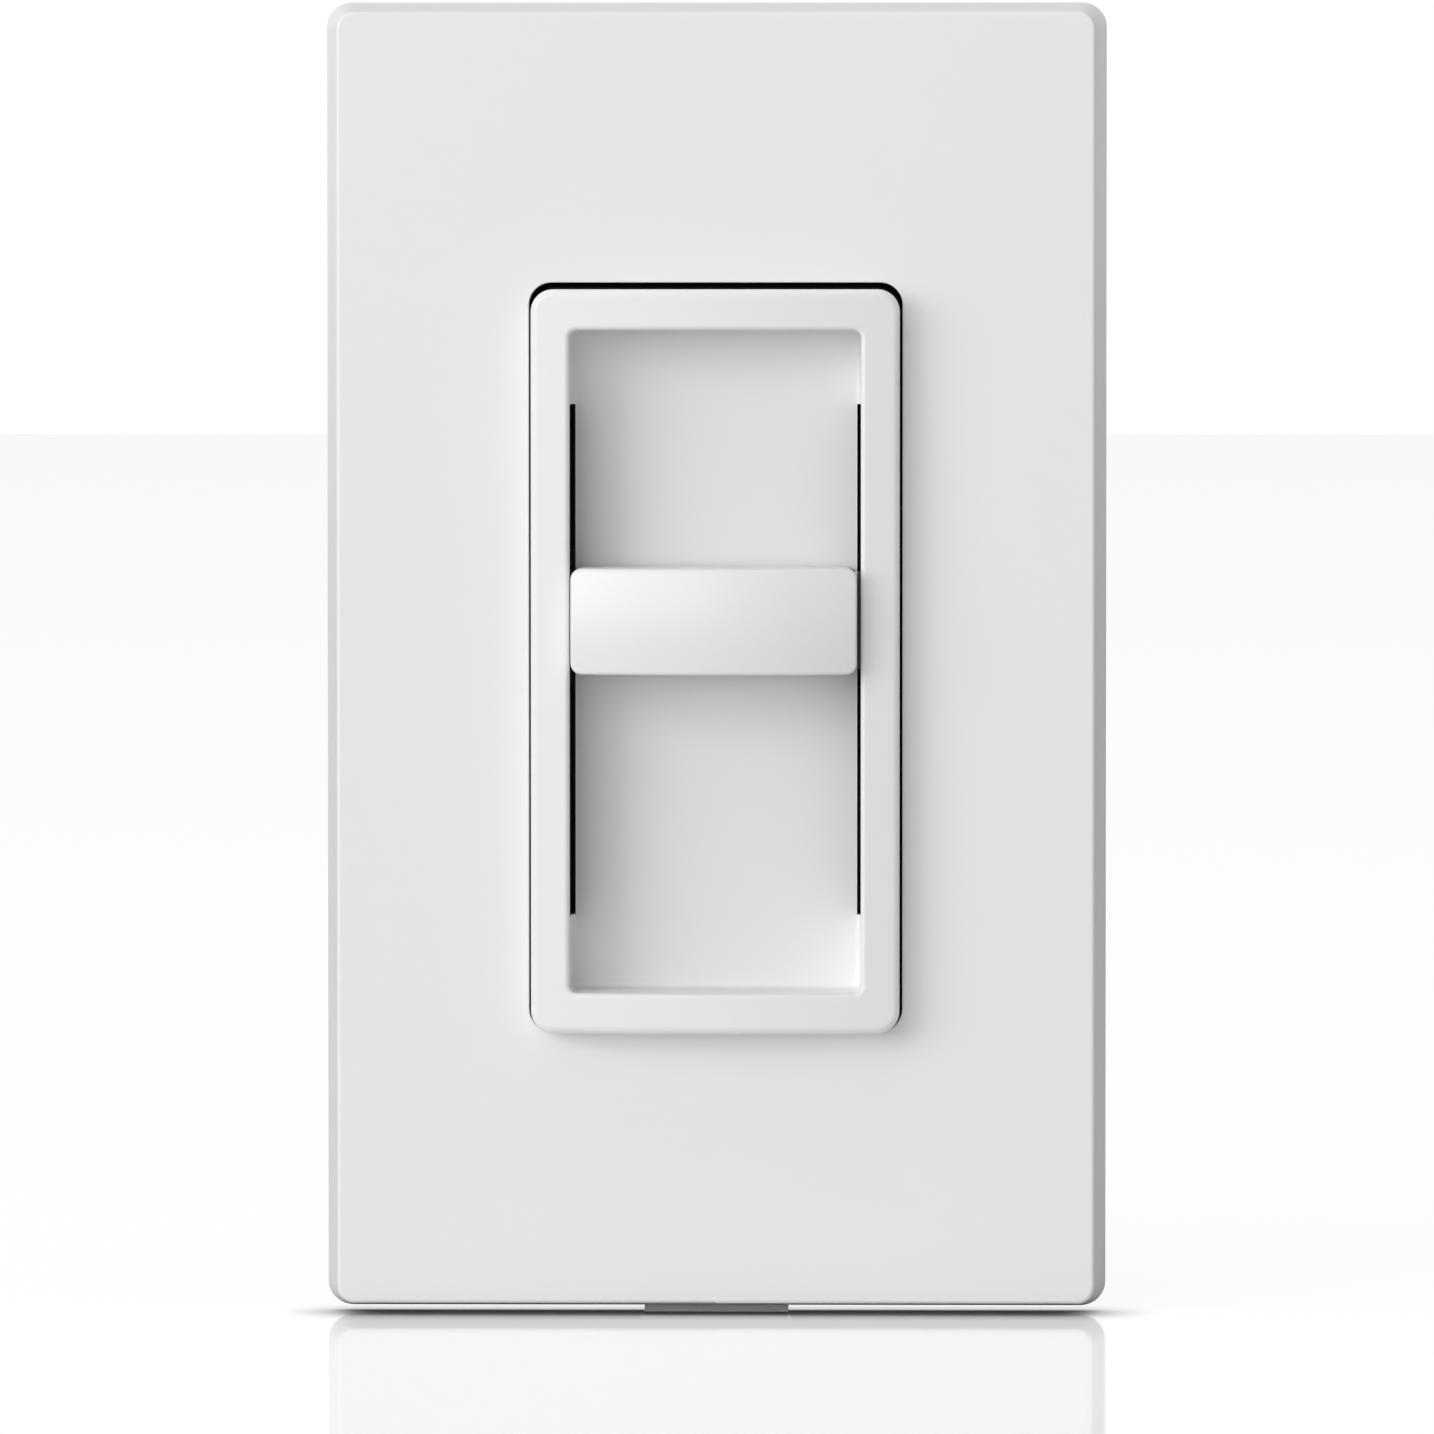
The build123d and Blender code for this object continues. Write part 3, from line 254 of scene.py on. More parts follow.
def noise(tree, scale, detail=2.0, roughness=0.5, stretch=(1, 1, 1)):
    """Noise in the CAD frame, whose scale counts its lumps per metre."""
    node = tree.nodes.new("ShaderNodeTexNoise")
    node.inputs["Scale"].default_value = scale
    node.inputs["Detail"].default_value = detail
    node.inputs["Roughness"].default_value = roughness
    tree.links.new(place(tree, stretch), node.inputs["Vector"])
    return node.outputs["Fac"]


def spread(tree, value, low, high, from_low=0.3, from_high=0.7):
    """A value taken from one range to another."""
    node = tree.nodes.new("ShaderNodeMapRange")
    node.inputs["From Min"].default_value = from_low
    node.inputs["From Max"].default_value = from_high
    node.inputs["To Min"].default_value = low
    node.inputs["To Max"].default_value = high
    tree.links.new(value, node.inputs["Value"])
    return node.outputs["Result"]


def bump(tree, shader, height, strength, distance):
    """Relief whose full height is a distance in millimetres."""
    node = tree.nodes.new("ShaderNodeBump")
    node.inputs["Strength"].default_value = strength
    node.inputs["Distance"].default_value = distance * MM
    tree.links.new(height, node.inputs["Height"])
    tree.links.new(node.outputs["Normal"], shader.inputs["Normal"])


def blend_colours(tree, value, first, second):
    """A colour between two, each a tuple or an output, by a value from 0 to 1."""
    node = tree.nodes.new("ShaderNodeMix")
    node.data_type = "RGBA"
    for socket, colour in ((node.inputs["A"], first), (node.inputs["B"], second)):
        if isinstance(colour, bpy.types.NodeSocket):
            tree.links.new(colour, socket)
        else:
            socket.default_value = (*colour, 1)
    tree.links.new(value, node.inputs["Factor"])
    return node.outputs["Result"]


def tint(tree, shader, value, first, second):
    """Gives a shader a colour between two."""
    tree.links.new(blend_colours(tree, value, first, second), shader.inputs["Base Color"])


def scaled(colour, factor):
    """A lighter or darker colour."""
    return tuple(min(1.0, part * factor) for part in colour)


def white_plastic(name, value, roughness, skin=0.02):
    """Smooth moulded plastic: the faintest mottling, slightly uneven gloss and a fine skin."""
    white = (value, value, value)
    material, tree, shader = principled(name, white, roughness)
    mottling = noise(tree, 45, 2)
    tint(tree, shader, mottling, scaled(white, 0.995), scaled(white, 1.004))
    uneven = spread(tree, noise(tree, 120, 2), roughness * 0.9, roughness * 1.1, 0, 1)
    tree.links.new(uneven, shader.inputs["Roughness"])
    bump(tree, shader, noise(tree, 2400, 1), skin, 0.01)
    return material


def bar_plastic():
    """The white of the finger bar, with painted shade on its arms: black where they pass behind the
    bezel's lip.
    """
    material = white_plastic("bar_plastic", 0.86, 0.31)
    tree = material.node_tree
    shader = tree.nodes["Principled BSDF"]
    beside = calculate(tree, "ABSOLUTE", coordinate(tree, "X"))
    outside = spread(tree, beside, 0, 1, ARM_SHADE_X, ARM_SHADE_X + ARM_SHADE_EDGE)
    behind = spread(tree, coordinate(tree, "Y"), 0, 1, ARM_SHADE_Y, ARM_SHADE_Y + ARM_SHADE_EDGE)
    white = shader.inputs["Base Color"].links[0].from_socket
    # Painted shade: the arms in the gaps beside the bar are coloured black.
    tint(tree, shader, calculate(tree, "MULTIPLY", outside, behind), white, (0.015, 0.015, 0.015))
    return material


def textured_plastic(name, colour, roughness, grain=2500, depth=0.35):
    """Moulded plastic with a spark-eroded texture and paler rubbed patches."""
    material, tree, shader = principled(name, colour, roughness)
    fine = spread(tree, noise(tree, grain, 3), 0, 1)
    pebbled = blend_colours(tree, fine, scaled(colour, 0.8), scaled(colour, 1.25))
    rubbed = spread(tree, noise(tree, 90, 5, 0.65), 0, 0.5, 0.5, 0.75)
    tint(tree, shader, rubbed, pebbled, scaled(colour, 1.6))
    uneven = spread(tree, noise(tree, 400, 3), roughness * 0.85, roughness * 1.15)
    tree.links.new(uneven, shader.inputs["Roughness"])
    bump(tree, shader, noise(tree, grain, 3), depth, 0.06)
    return material


def metal(name, colour, roughness, stretch=(1, 1, 1), tarnish=0.85):
    """Rolled or turned metal: fine streaks along one axis and faint duller patches."""
    material, tree, shader = principled(name, colour, roughness, 1.0)
    streaks = noise(tree, 500, 4, 0.6, stretch)
    streaked = blend_colours(tree, spread(tree, streaks, 0, 1), scaled(colour, 0.88), colour)
    patches = spread(tree, noise(tree, 130, 4, 0.6), 0, 1, 0.45, 0.75)
    tint(tree, shader, patches, streaked, scaled(colour, tarnish))
    uneven = spread(tree, streaks, roughness * 0.8, roughness * 1.3)
    tree.links.new(uneven, shader.inputs["Roughness"])
    bump(tree, shader, streaks, 0.2, 0.02)
    return material


def black_film():
    """Matt black film, painted shade where the gaps and slots lie dark, that sends almost no light
    back.
    """
    material = textured_plastic("black_film", (0.006, 0.006, 0.006), 0.9)
    shader = material.node_tree.nodes["Principled BSDF"]
    shader.inputs["Specular IOR Level"].default_value = 0.1
    return material


def make_materials():
    """The material of each CAD node by the node's name, and tin for leads and solder."""
    film = black_film()
    along_z = (1, 1, 0.04)
    along_y = (1, 0.06, 1)
    brass = (0.80, 0.58, 0.25)
    bronze = (0.80, 0.50, 0.28)
    steel = (0.62, 0.62, 0.61)
    return {
        "wallplate_cover": white_plastic("cover_plastic", 0.86, 0.34),
        "wallplate_bracket": white_plastic("bracket_plastic", 0.82, 0.45, 0.1),
        "bezel": white_plastic("bezel_plastic", 0.86, 0.32),
        # The seal and the slot liners are black sheets put where the gaps lie in shade: painted
        # shade.
        "light_seal": film,
        "slot_liners": film,
        "slide_bar": bar_plastic(),
        "slide_carrier": textured_plastic("black_nylon", (0.02, 0.02, 0.021), 0.5),
        "mounting_strap": metal("strap_aluminium", (0.76, 0.77, 0.78), 0.36, along_z),
        "mounting_screws": metal("zinc_plate", (0.70, 0.70, 0.66), 0.28, along_y),
        "wallplate_screws": white_plastic("screw_paint", 0.78, 0.32),
        "housing_screws": metal("screw_steel", steel, 0.3),
        "screw_retainers": textured_plastic("fibre", (0.42, 0.10, 0.05), 0.75, 1500),
        "ground_screw": metal("green_plate", (0.07, 0.36, 0.13), 0.35),
        "rear_housing": textured_plastic("housing_plastic", (0.022, 0.022, 0.024), 0.42),
        "line_terminal": metal("terminal_brass", brass, 0.3, along_z),
        "load_terminal": metal("terminal_brass_load", brass, 0.3, along_z),
        "terminal_screws": metal("screw_brass", brass, 0.25),
        "circuit_board": textured_plastic("phenolic", (0.32, 0.15, 0.06), 0.5),
        "potentiometer_case": textured_plastic("case_phenolic", (0.028, 0.026, 0.024), 0.5),
        "potentiometer_track": textured_plastic("carbon_track", (0.05, 0.045, 0.04), 0.6),
        "potentiometer_lever": textured_plastic("lever_plastic", (0.03, 0.03, 0.03), 0.5),
        "potentiometer_wiper": metal("spring_bronze", bronze, 0.25, along_z),
        "line_rail": metal("rail_brass", brass, 0.28, along_z),
        "load_rail": metal("load_rail_brass", brass, 0.28, along_z),
        "bridging_contact": metal("contact_bronze", bronze, 0.25, along_z),
        "tin": metal("tinned_steel", steel, 0.3, along_z),
        "triac": textured_plastic("epoxy", (0.025, 0.025, 0.027), 0.55),
        "insulating_pad": textured_plastic("silicone_pad", (0.42, 0.44, 0.47), 0.8, 1200),
        "triac_rivet": metal("rivet_aluminium", (0.78, 0.79, 0.80), 0.35),
        "choke_core": textured_plastic("core_coating", (0.65, 0.52, 0.10), 0.6),
        "choke_winding": metal("enamelled_copper", (0.68, 0.28, 0.12), 0.22),
        "interference_capacitor": textured_plastic("capacitor_blue", (0.06, 0.14, 0.36), 0.35,
                                                   900, 0.1),
        "timing_capacitor": textured_plastic("capacitor_brown", (0.36, 0.08, 0.04), 0.3, 900, 0.1),
        "diac": textured_plastic("diac_glass", GLASS_BLUE, 0.2, 900, 0.05),
        "resistors": textured_plastic("resistor_lacquer", LACQUER_TAN, 0.4, 900, 0.1),
    }


def dress_frame(materials):
    """Gives every CAD node its material."""
    for name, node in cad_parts.items():
        node.data.materials.clear()
        node.data.materials.append(materials[name])


# Mesh tools

THREAD_STEPS = 20
# The corners of a thread's section: whether each lies at the crest, and its place along the pitch
THREAD_SECTION = ((False, -0.42), (True, -0.07), (True, 0.07), (False, 0.42))


def axis_frame(origin, axis):
    """The matrix that stands a turned shape's Z axis along an axis, from millimetres to metres."""
    turn = Vector((0, 0, 1)).rotation_difference(Vector(axis)).to_matrix().to_4x4()
    return Matrix.Scale(MM, 4) @ Matrix.Translation(Vector(origin)) @ turn


def on_circle(radius, step, steps):
    """The x and y of one step round a circle about the origin."""
    angle = math.tau * step / steps
    return radius * math.cos(angle), radius * math.sin(angle)


def link_rings(shape, rings):
    """Faces between rings of points, where a ring of one point closes an end."""
    for lower, upper in zip(rings, rings[1:]):
        count = max(len(lower), len(upper))
        for i in range(count):
            j = (i + 1) % count
            if len(lower) == 1:
                shape.faces.new((lower[0], upper[i], upper[j]))
            elif len(upper) == 1:
                shape.faces.new((lower[j], lower[i], upper[0]))
            else:
                shape.faces.new((lower[j], lower[i], upper[i], upper[j]))


def close_rod(shape, rings):
    """Adds a rod through rings of points to a shape, with a face on each end."""
    before = set(shape.faces)
    link_rings(shape, rings)
    shape.faces.new(rings[0])
    shape.faces.new(rings[-1])
    added = [face for face in shape.faces if face not in before]
    bmesh.ops.recalc_face_normals(shape, faces=added)


def turned(profile, segments=48):
    """A solid of revolution about Z from (radius, height) points that begin and end on the axis."""
    shape = bmesh.new()
    rings = []
    for radius, height in profile:
        if radius == 0:
            rings.append([shape.verts.new((0, 0, height))])
            continue
        rings.append([shape.verts.new((*on_circle(radius, i, segments), height))
                      for i in range(segments)])
    link_rings(shape, rings)
    bmesh.ops.recalc_face_normals(shape, faces=shape.faces)
    return shape


def prism(levels):
    """A closed solid through outlines of (x, y) points, each at its own height."""
    shape = bmesh.new()
    rings = [[shape.verts.new((x, y, height)) for x, y in outline] for outline, height in levels]
    link_rings(shape, rings)
    for ring in (rings[0], rings[-1]):
        shape.faces.new(ring)
    bmesh.ops.triangulate(shape, faces=[face for face in shape.faces if len(face.verts) > 4])
    bmesh.ops.recalc_face_normals(shape, faces=shape.faces)
    return shape


def add_thread(shape, root, crest, pitch, start, end):
    """Adds a helical ridge about Z, whose two ends sink into the shank."""
    steps = round((end - start) / pitch * THREAD_STEPS)
    base = root * 0.97
    rings = []
    for i in range(steps + 1):
        height = start + (end - start) * i / steps
        rise = min(1, i / THREAD_STEPS, (steps - i) / THREAD_STEPS)
        top = base + (crest - base) * max(rise, 0.05)
        ring = []
        for at_crest, offset in THREAD_SECTION:
            x, y = on_circle(top if at_crest else base, i, THREAD_STEPS)
            ring.append(shape.verts.new((x, y, height + offset * pitch)))
        rings.append(ring)
    close_rod(shape, rings)


def join(shape, other, matrix=Matrix.Identity(4)):
    """Adds another shape, moved by a matrix, to a shape."""
    mesh = bpy.data.meshes.new("blank")
    other.to_mesh(mesh)
    other.free()
    mesh.transform(matrix)
    shape.from_mesh(mesh)
    bpy.data.meshes.remove(mesh)


def carved(shape, cutter):
    """The first shape with the second taken out of it."""
    parts = []
    for source in (shape, cutter):
        mesh = bpy.data.meshes.new("blank")
        source.to_mesh(mesh)
        source.free()
        part = bpy.data.objects.new("blank", mesh)
        bpy.context.scene.collection.objects.link(part)
        parts.append(part)
    modifier = parts[0].modifiers.new("carve", "BOOLEAN")
    modifier.solver = "EXACT"
    modifier.object = parts[1]
    graph = bpy.context.evaluated_depsgraph_get()
    mesh = bpy.data.meshes.new_from_object(parts[0].evaluated_get(graph))
    result = bmesh.new()
    result.from_mesh(mesh)
    bpy.data.meshes.remove(mesh)
    for part in parts:
        bpy.data.meshes.remove(part.data)
    return result


def cross_cutter(reach, half_width, top, depth):
    """The tapered cross of a cross-head recess, whose mouth is at height top."""
    def outline(r, w):
        return ((w, r), (-w, r), (-w, w), (-r, w), (-r, -w), (-w, -w),
                (-w, -r), (w, -r), (w, -w), (r, -w), (r, w), (w, w))
    return prism((
        (outline(reach * 0.35, half_width * 0.6), top - depth),
        (outline(reach * 0.85, half_width * 0.95), top - depth * 0.35),
        (outline(reach, half_width), top),
        (outline(reach, half_width), top + 1),
    ))


def slot_cutter(reach, half_width, top, depth):
    """The bar that cuts a screwdriver slot, whose mouth is at height top."""
    outline = ((reach, half_width), (-reach, half_width),
               (-reach, -half_width), (reach, -half_width))
    return prism(((outline, top - depth), (outline, top + 1)))


def tube(shape, points, radius, sides=10):
    """Adds a round wire along points, closed at both ends."""
    points = [Vector(point) for point in points]
    side = None
    rings = []
    for i, point in enumerate(points):
        ahead = (points[min(i + 1, len(points) - 1)] - points[max(i - 1, 0)]).normalized()
        if side is None:
            side = ahead.orthogonal()
        side = (side - ahead * side.dot(ahead)).normalized()
        other = ahead.cross(side)
        ring = []
        for step in range(sides):
            along_side, along_other = on_circle(1, step, sides)
            outwards = side * along_side + other * along_other
            ring.append(shape.verts.new(point + outwards * radius))
        rings.append(ring)
    close_rod(shape, rings)


def piece(name, shape, matrix, material, body, replaced=(), sharp=35):
    """Makes an object of a shape, places it, dresses it and gives it to a body."""
    mesh = bpy.data.meshes.new(name)
    shape.to_mesh(mesh)
    shape.free()
    mesh.transform(matrix)
    mesh.shade_smooth()
    mesh.set_sharp_from_angle(angle=math.radians(sharp))
    mesh.materials.append(material)
    made = bpy.data.objects.new(name, mesh)
    bpy.context.scene.collection.objects.link(made)
    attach(made, body)
    if replaced:
        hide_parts(*replaced)


# Screws. Lengths are in millimetres, and heights run along each screw's own axis from its seat.

THREAD_PITCH = 0.794

MOUNTING_HEAD_R = 3.3
MOUNTING_HEAD_H = 1.8
MOUNTING_NECK_R = 1.6
MOUNTING_NECK_END = -2.0
MOUNTING_SHANK_R = 1.42
MOUNTING_TIP = -21.6
MOUNTING_SEAT_Y = -1.6
MOUNTING_Z = 41.67

PLATE_HEAD_R = 2.9
PLATE_HEAD_NECK = -1.15
PLATE_SHANK_R = 1.35
PLATE_TIP = -6.9
PLATE_SEAT_Y = -3.4
PLATE_SCREW_Z = 48.4

HOUSING_HEAD_R = 2.3
HOUSING_HEAD_H = 1.4
HOUSING_SHANK_R = 1.0
HOUSING_TIP = -32.7
HOUSING_SEAT = (17.6, 31.1, 29.0)

TERMINAL_HEAD_R = 3.2
TERMINAL_HEAD_H = 2.1
TERMINAL_SHANK_R = 1.45
TERMINAL_TIP = -3.1
TERMINAL_SEAT = (18.5, 7.25, 12.5)

GROUND_FLANGE_R = 2.9
GROUND_FLANGE_H = 0.6
GROUND_HEX_R = 2.55
GROUND_HEX_TOP = 2.4
GROUND_SHANK_R = 1.7
GROUND_SEAT = (10, 0, -37.4)


def pan_head(radius, height, rim=0.3):
    """Profile of a domed head, from its top to its seat."""
    return [(0, height), (radius * 0.4, height * 0.985), (radius * 0.68, height * 0.92),
            (radius * 0.86, height * 0.74), (radius * 0.96, height * 0.5), (radius, height * rim),
            (radius, 0.0)]


def shank(radius, start, end, chamfer=0.45):
    """Profile of a shank that runs down from start to end, with a chamfered tip."""
    return [(radius, start), (radius, end + chamfer), (radius - chamfer, end), (0, end)]


def mounting_screw_shape():
    """An oval head with a cross recess and a slot, a thin neck and a machine thread."""
    head = pan_head(MOUNTING_HEAD_R, MOUNTING_HEAD_H)
    neck = [(MOUNTING_NECK_R, 0.0), (MOUNTING_NECK_R, MOUNTING_NECK_END)]
    body = shank(MOUNTING_SHANK_R, MOUNTING_NECK_END - 0.1, MOUNTING_TIP)
    shape = carved(turned(head + neck + body), cross_cutter(2.0, 0.42, MOUNTING_HEAD_H, 1.3))
    shape = carved(shape, slot_cutter(MOUNTING_HEAD_R + 0.3, 0.38, MOUNTING_HEAD_H + 0.05, 0.75))
    add_thread(shape, MOUNTING_SHANK_R, 1.75, THREAD_PITCH, MOUNTING_TIP + 0.6, -2.7)
    return shape


def wallplate_screw_shape():
    """A countersunk head with a cross recess."""
    head = [(0, 0.0), (PLATE_HEAD_R - 0.15, 0.0), (PLATE_HEAD_R, -0.12),
            (PLATE_SHANK_R + 0.3, PLATE_HEAD_NECK)]
    body = shank(PLATE_SHANK_R, PLATE_HEAD_NECK - 0.45, PLATE_TIP)
    shape = carved(turned(head + body), cross_cutter(1.9, 0.36, 0.0, 0.95))
    add_thread(shape, PLATE_SHANK_R, 1.65, THREAD_PITCH, PLATE_TIP + 0.5, -1.9)
    return shape


def housing_screw_shape():
    """A pan head with a cross recess on a long thread-forming shank."""
    head = pan_head(HOUSING_HEAD_R, HOUSING_HEAD_H)
    body = shank(HOUSING_SHANK_R, 0.0, HOUSING_TIP, 0.6)
    shape = carved(turned(head + body), cross_cutter(1.35, 0.3, HOUSING_HEAD_H, 1.0))
    add_thread(shape, HOUSING_SHANK_R, 1.2, 1.0, HOUSING_TIP + 0.7, -22.0)
    return shape


def terminal_screw_shape():
    """A binding head with a slot and a cross recess, undercut to hold the wire."""
    head = [(0, TERMINAL_HEAD_H), (2.5, TERMINAL_HEAD_H), (2.95, 1.95), (TERMINAL_HEAD_R, 1.6),
            (TERMINAL_HEAD_R, 0.55), (2.9, 0.25), (2.6, 0.3), (1.75, 0.0)]
    body = shank(TERMINAL_SHANK_R, 0.0, TERMINAL_TIP, 0.3)
    shape = carved(turned(head + body), cross_cutter(1.8, 0.4, TERMINAL_HEAD_H, 1.3))
    shape = carved(shape, slot_cutter(TERMINAL_HEAD_R + 0.4, 0.42, TERMINAL_HEAD_H, 0.8))
    add_thread(shape, TERMINAL_SHANK_R, 1.75, THREAD_PITCH, TERMINAL_TIP + 0.2, -0.4)
    return shape


def ground_screw_shape():
    """A slotted hexagonal head on a flange."""
    flange = [(0, GROUND_FLANGE_H), (2.3, GROUND_FLANGE_H), (GROUND_FLANGE_R, 0.35),
              (GROUND_FLANGE_R, 0.0)]
    shape = turned(flange + shank(GROUND_SHANK_R, 0.0, -1.6, 0.2))
    levels = []
    for radius, height in ((GROUND_HEX_R, 0.4), (GROUND_HEX_R, 2.1), (2.2, GROUND_HEX_TOP)):
        levels.append(([on_circle(radius, corner, 6) for corner in range(6)], height))
    join(shape, carved(prism(levels), slot_cutter(3.2, 0.42, GROUND_HEX_TOP, 0.9)))
    return shape


def add_screws(materials):
    """The upper and lower screw of each kind, and the ground screw, each on its own seat."""
    def add(name, node, shape, seat, axis):
        piece(name, shape, axis_frame(seat, axis), materials[node], "base", [node])

    forwards, backwards, sideways = (0, -1, 0), (0, 1, 0), (1, 0, 0)
    for end, which in ((1, "upper"), (-1, "lower")):
        add(f"mounting_screw_{which}", "mounting_screws", mounting_screw_shape(),
            (0, MOUNTING_SEAT_Y, end * MOUNTING_Z), forwards)
        add(f"wallplate_screw_{which}", "wallplate_screws", wallplate_screw_shape(),
            (0, PLATE_SEAT_Y, end * PLATE_SCREW_Z), forwards)
        x, y, z = TERMINAL_SEAT
        add(f"terminal_screw_{which}", "terminal_screws", terminal_screw_shape(),
            (x, y, end * z), sideways)
        x, y, z = HOUSING_SEAT
        for side, hand in ((-1, "left"), (1, "right")):
            add(f"housing_screw_{which}_{hand}", "housing_screws", housing_screw_shape(),
                (side * x, y, end * z), backwards)
    add("ground_screw_head", "ground_screw", ground_screw_shape(), GROUND_SEAT, backwards)


# Parts on the circuit board, in millimetres

BOARD_FRONT = 13.0
BOARD_BACK = 14.6

CHOKE = (-6.5, 20.0, 17.0)
CHOKE_MIDDLE_R = 7.0
CHOKE_HALF_WIDTH = 2.45
CHOKE_HALF_HEIGHT = 4.45
CHOKE_TURNS = 25
CHOKE_TURN_STEPS = 20
CHOKE_START = -60
CHOKE_SWEEP = 300
CHOKE_WIRE = 0.4

RESISTOR_X = -10.5
RESISTOR_Z = (-6.0, -12.0)
RESISTOR_LENGTH = 6.4
RESISTOR_BANDS = ((-2.35, -1.95, (0.35, 0.16, 0.04)), (-1.0, -0.6, (0.02, 0.02, 0.02)),
                  (-0.1, 0.3, (0.75, 0.30, 0.03)), (1.85, 2.25, (0.55, 0.38, 0.10)))
DIAC_X = -1.0
DIAC_Z = -8.0
DIAC_LENGTH = 4.2
DIAC_BANDS = ((1.0, 1.5, (0.02, 0.02, 0.02)),)
BAND_SPAN = 10

AXIAL_GAP = 0.6
AXIAL_WIRE = 0.3
LEAD_INSET = 0.2
LEAD_REACH = 2.4
LEAD_BEND = 0.8
LEAD_BEND_MIDDLE = 0.25

# Where the other parts' leads come through: (x, z) on the board's front and back
FRONT_JOINTS = ((11.2, 11.0), (11.2, 23.0), (6.6, -4.0), (11.4, -4.0))
BACK_JOINTS = ((7.6, -21.2), (7.6, 21.2), (10.4, -12.2), (10.4, 21.2))
SOLDER_CONE = ((0, 1.0), (0.25, 1.0), (0.36, 0.7), (0.55, 0.35), (0.95, 0.08), (1.0, 0.0), (0, 0.0))


def rounded(value):
    """A cosine or sine pushed towards a rounded square."""
    return math.copysign(abs(value) ** 0.4, value)


def add_choke_winding(material):
    """Enamelled wire wound round the ring, with both ends in the board."""
    steps = CHOKE_TURNS * CHOKE_TURN_STEPS
    points = []
    for i in range(steps + 1):
        around = math.radians(CHOKE_START + CHOKE_SWEEP * i / steps)
        across = math.tau * CHOKE_TURNS * i / steps - math.pi / 2
        radius = CHOKE_MIDDLE_R + CHOKE_HALF_WIDTH * rounded(math.cos(across))
        y = CHOKE[1] + CHOKE_HALF_HEIGHT * rounded(math.sin(across))
        x = CHOKE[0] + radius * math.cos(around)
        z = CHOKE[2] + radius * math.sin(around)
        points.append((x, y, z))
    first, last = points[0], points[-1]
    points.insert(0, (first[0], BOARD_FRONT, first[2]))
    points.append((last[0], BOARD_FRONT, last[2]))
    shape = bmesh.new()
    tube(shape, points, CHOKE_WIRE, 8)
    piece("choke_turns", shape, Matrix.Scale(MM, 4), material, "base", ["choke_winding"],
          60)


def lead_end(length):
    """How far from the middle of a body of some length its leads go into the board."""
    return length / 2 - LEAD_INSET + LEAD_REACH


def axial_lead(x, y, z, side, length):
    """Points of a lead that leaves one side of a body along X and turns into the board."""
    start = x + side * (length / 2 - LEAD_INSET)
    end = x + side * lead_end(length)
    return [(start, y, z), (end - side * LEAD_BEND, y, z),
            (end - side * LEAD_BEND_MIDDLE, y - LEAD_BEND_MIDDLE, z),
            (end, y - LEAD_BEND, z), (end, BOARD_FRONT, z)]


def axial_body(x, y, z, radius, length, waist):
    """A round body with fuller ends, lying along X."""
    half = length / 2
    upper = [(0, half), (radius * 0.5, half), (radius * 0.9, half - 0.15), (radius, half - 0.45),
             (radius, half - 1.3), (radius * waist, half - 1.8)]
    lower = [(distance, -height) for distance, height in reversed(upper)]
    shape = turned(upper + lower, 32)
    shape.transform(Matrix.Scale(1 / MM, 4) @ axis_frame((x, y, z), (1, 0, 0)))
    return shape


def banded(name, base, x, bands):
    """Lacquer with painted rings about X, each a (low, high, colour) measured from the middle."""
    material, tree, shader = principled(name, base, 0.35)
    ramp = tree.nodes.new("ShaderNodeValToRGB")
    ramp.color_ramp.interpolation = "CONSTANT"
    ramp.color_ramp.elements[0].color = (*base, 1)
    ramp.color_ramp.elements.remove(ramp.color_ramp.elements[1])
    for low, high, colour in bands:
        for edge, paint in ((low, colour), (high, base)):
            element = ramp.color_ramp.elements.new(0.5 + edge / BAND_SPAN)
            element.color = (*paint, 1)
    low, high = (x - BAND_SPAN / 2) * MM, (x + BAND_SPAN / 2) * MM
    tree.links.new(spread(tree, coordinate(tree, "X"), 0, 1, low, high), ramp.inputs["Fac"])
    speckle = spread(tree, noise(tree, 900, 2), 0, 0.15)
    tint(tree, shader, speckle, ramp.outputs["Color"], scaled(base, 0.5))
    bump(tree, shader, noise(tree, 700, 2), 0.1, 0.03)
    return material


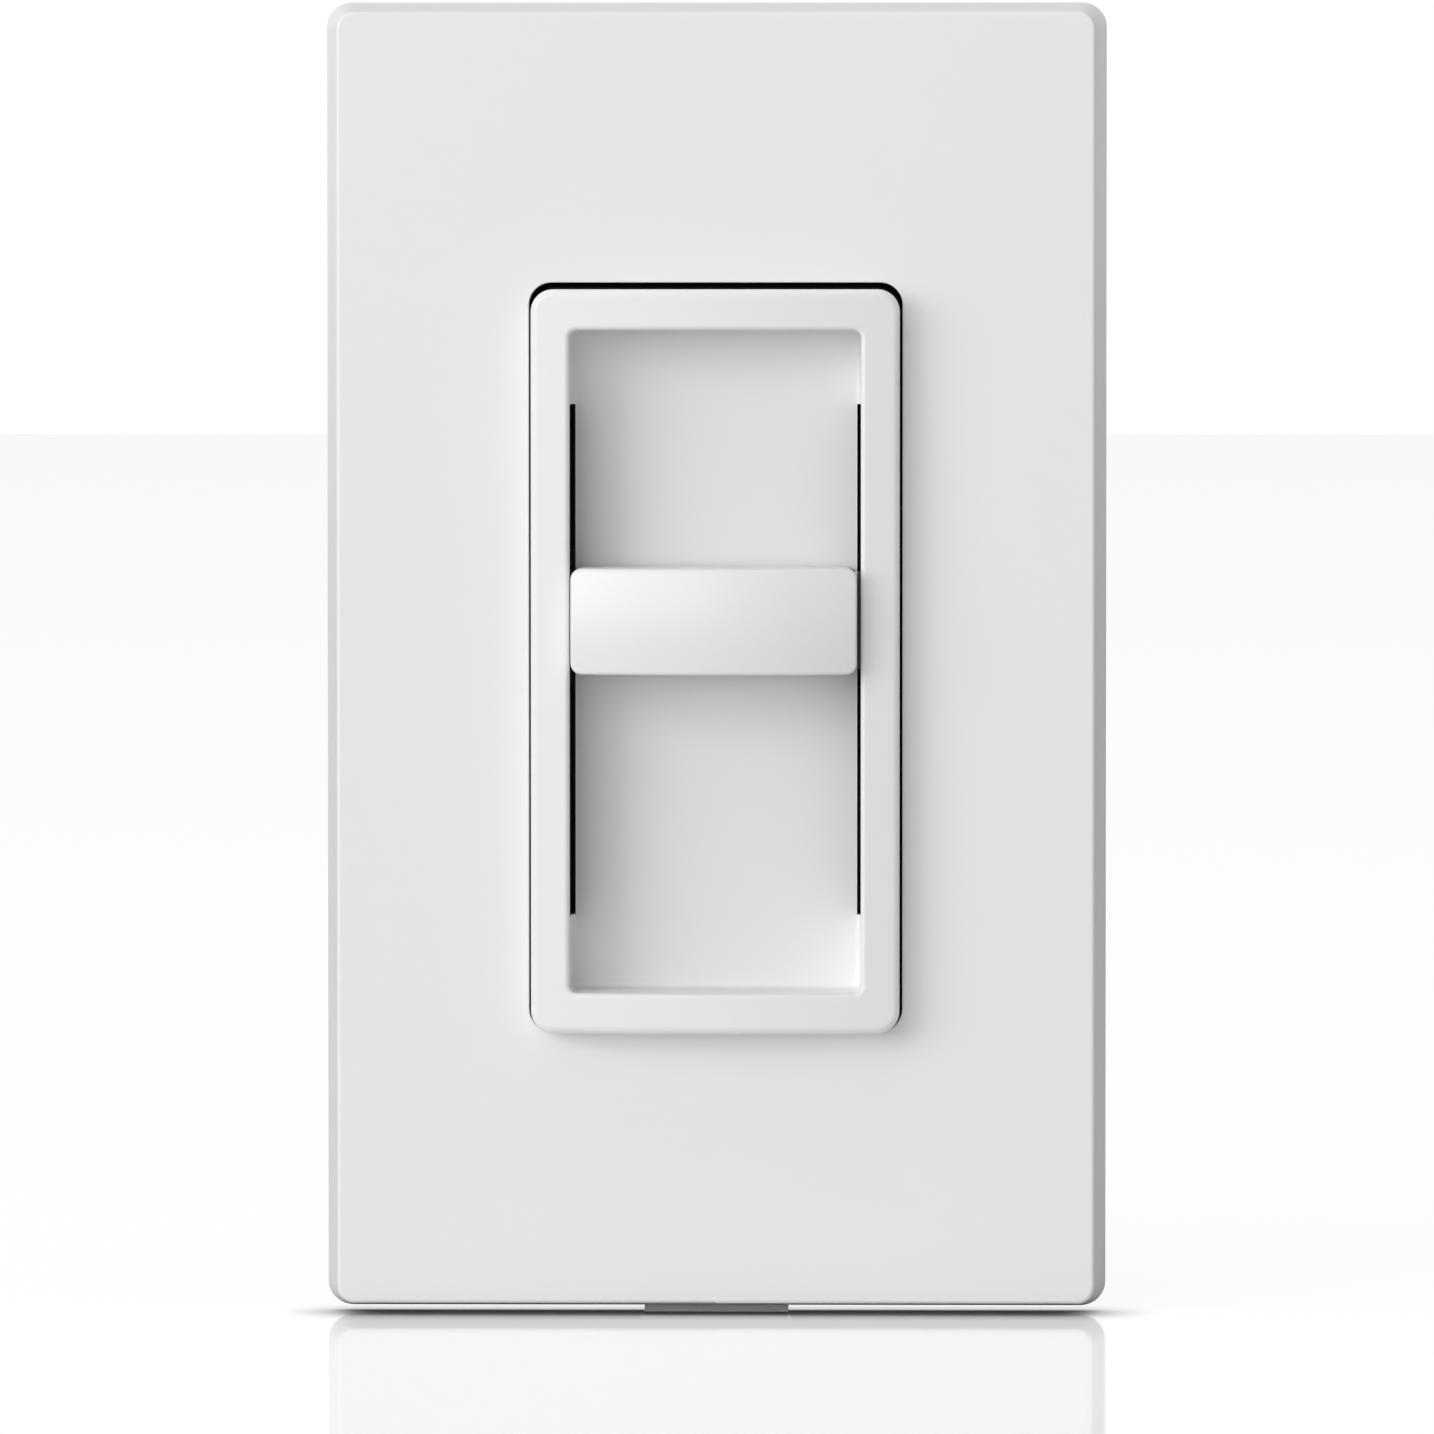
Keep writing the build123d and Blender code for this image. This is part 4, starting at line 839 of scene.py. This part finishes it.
def add_axial_part(name, place_xz, size, material, node, tin):
    """A resistor or diac of a (radius, length, waist) behind the board, and its two leads."""
    x, z = place_xz
    radius, length, waist = size
    y = BOARD_BACK + radius + AXIAL_GAP
    piece(name, axial_body(x, y, z, radius, length, waist), Matrix.Scale(MM, 4), material,
          "base", [node])
    leads = bmesh.new()
    for side in (-1, 1):
        tube(leads, axial_lead(x, y, z, side, length), AXIAL_WIRE)
    piece(f"{name}_leads", leads, Matrix.Scale(MM, 4), tin, "base", [], 60)


def add_axial_parts(tin):
    """Two resistors and the diac."""
    lacquer = banded("resistor_bands", LACQUER_TAN, RESISTOR_X, RESISTOR_BANDS)
    glass = banded("diac_body", GLASS_BLUE, DIAC_X, DIAC_BANDS)
    for which, z in zip(("upper", "lower"), RESISTOR_Z):
        add_axial_part(f"resistor_{which}", (RESISTOR_X, z), (1.2, RESISTOR_LENGTH, 0.82), lacquer,
                       "resistors", tin)
    add_axial_part("diac_glass", (DIAC_X, DIAC_Z), (1.0, DIAC_LENGTH, 0.97), glass,
                   "diac", tin)


def add_solder(tin):
    """A small cone of solder where each lead comes through the board."""
    front = list(FRONT_JOINTS)
    for z in RESISTOR_Z:
        front += [(RESISTOR_X + side * lead_end(RESISTOR_LENGTH), z) for side in (-1, 1)]
    front += [(DIAC_X + side * lead_end(DIAC_LENGTH), DIAC_Z) for side in (-1, 1)]
    shape = bmesh.new()
    for joints, y, axis in ((front, BOARD_FRONT, (0, -1, 0)), (BACK_JOINTS, BOARD_BACK, (0, 1, 0))):
        for x, z in joints:
            upright = Matrix.Scale(1 / MM, 4) @ axis_frame((x, y, z), axis)
            join(shape, turned(SOLDER_CONE, 20), upright)
    piece("solder_joints", shape, Matrix.Scale(MM, 4), tin, "base", [], 60)


bpy.context.scene.view_settings.view_transform = "Standard"
add_camera()
add_lights()
add_world()
add_floor()
materials = make_materials()
dress_frame(materials)
add_screws(materials)
add_choke_winding(materials["choke_winding"])
add_axial_parts(materials["tin"])
add_solder(materials["tin"])
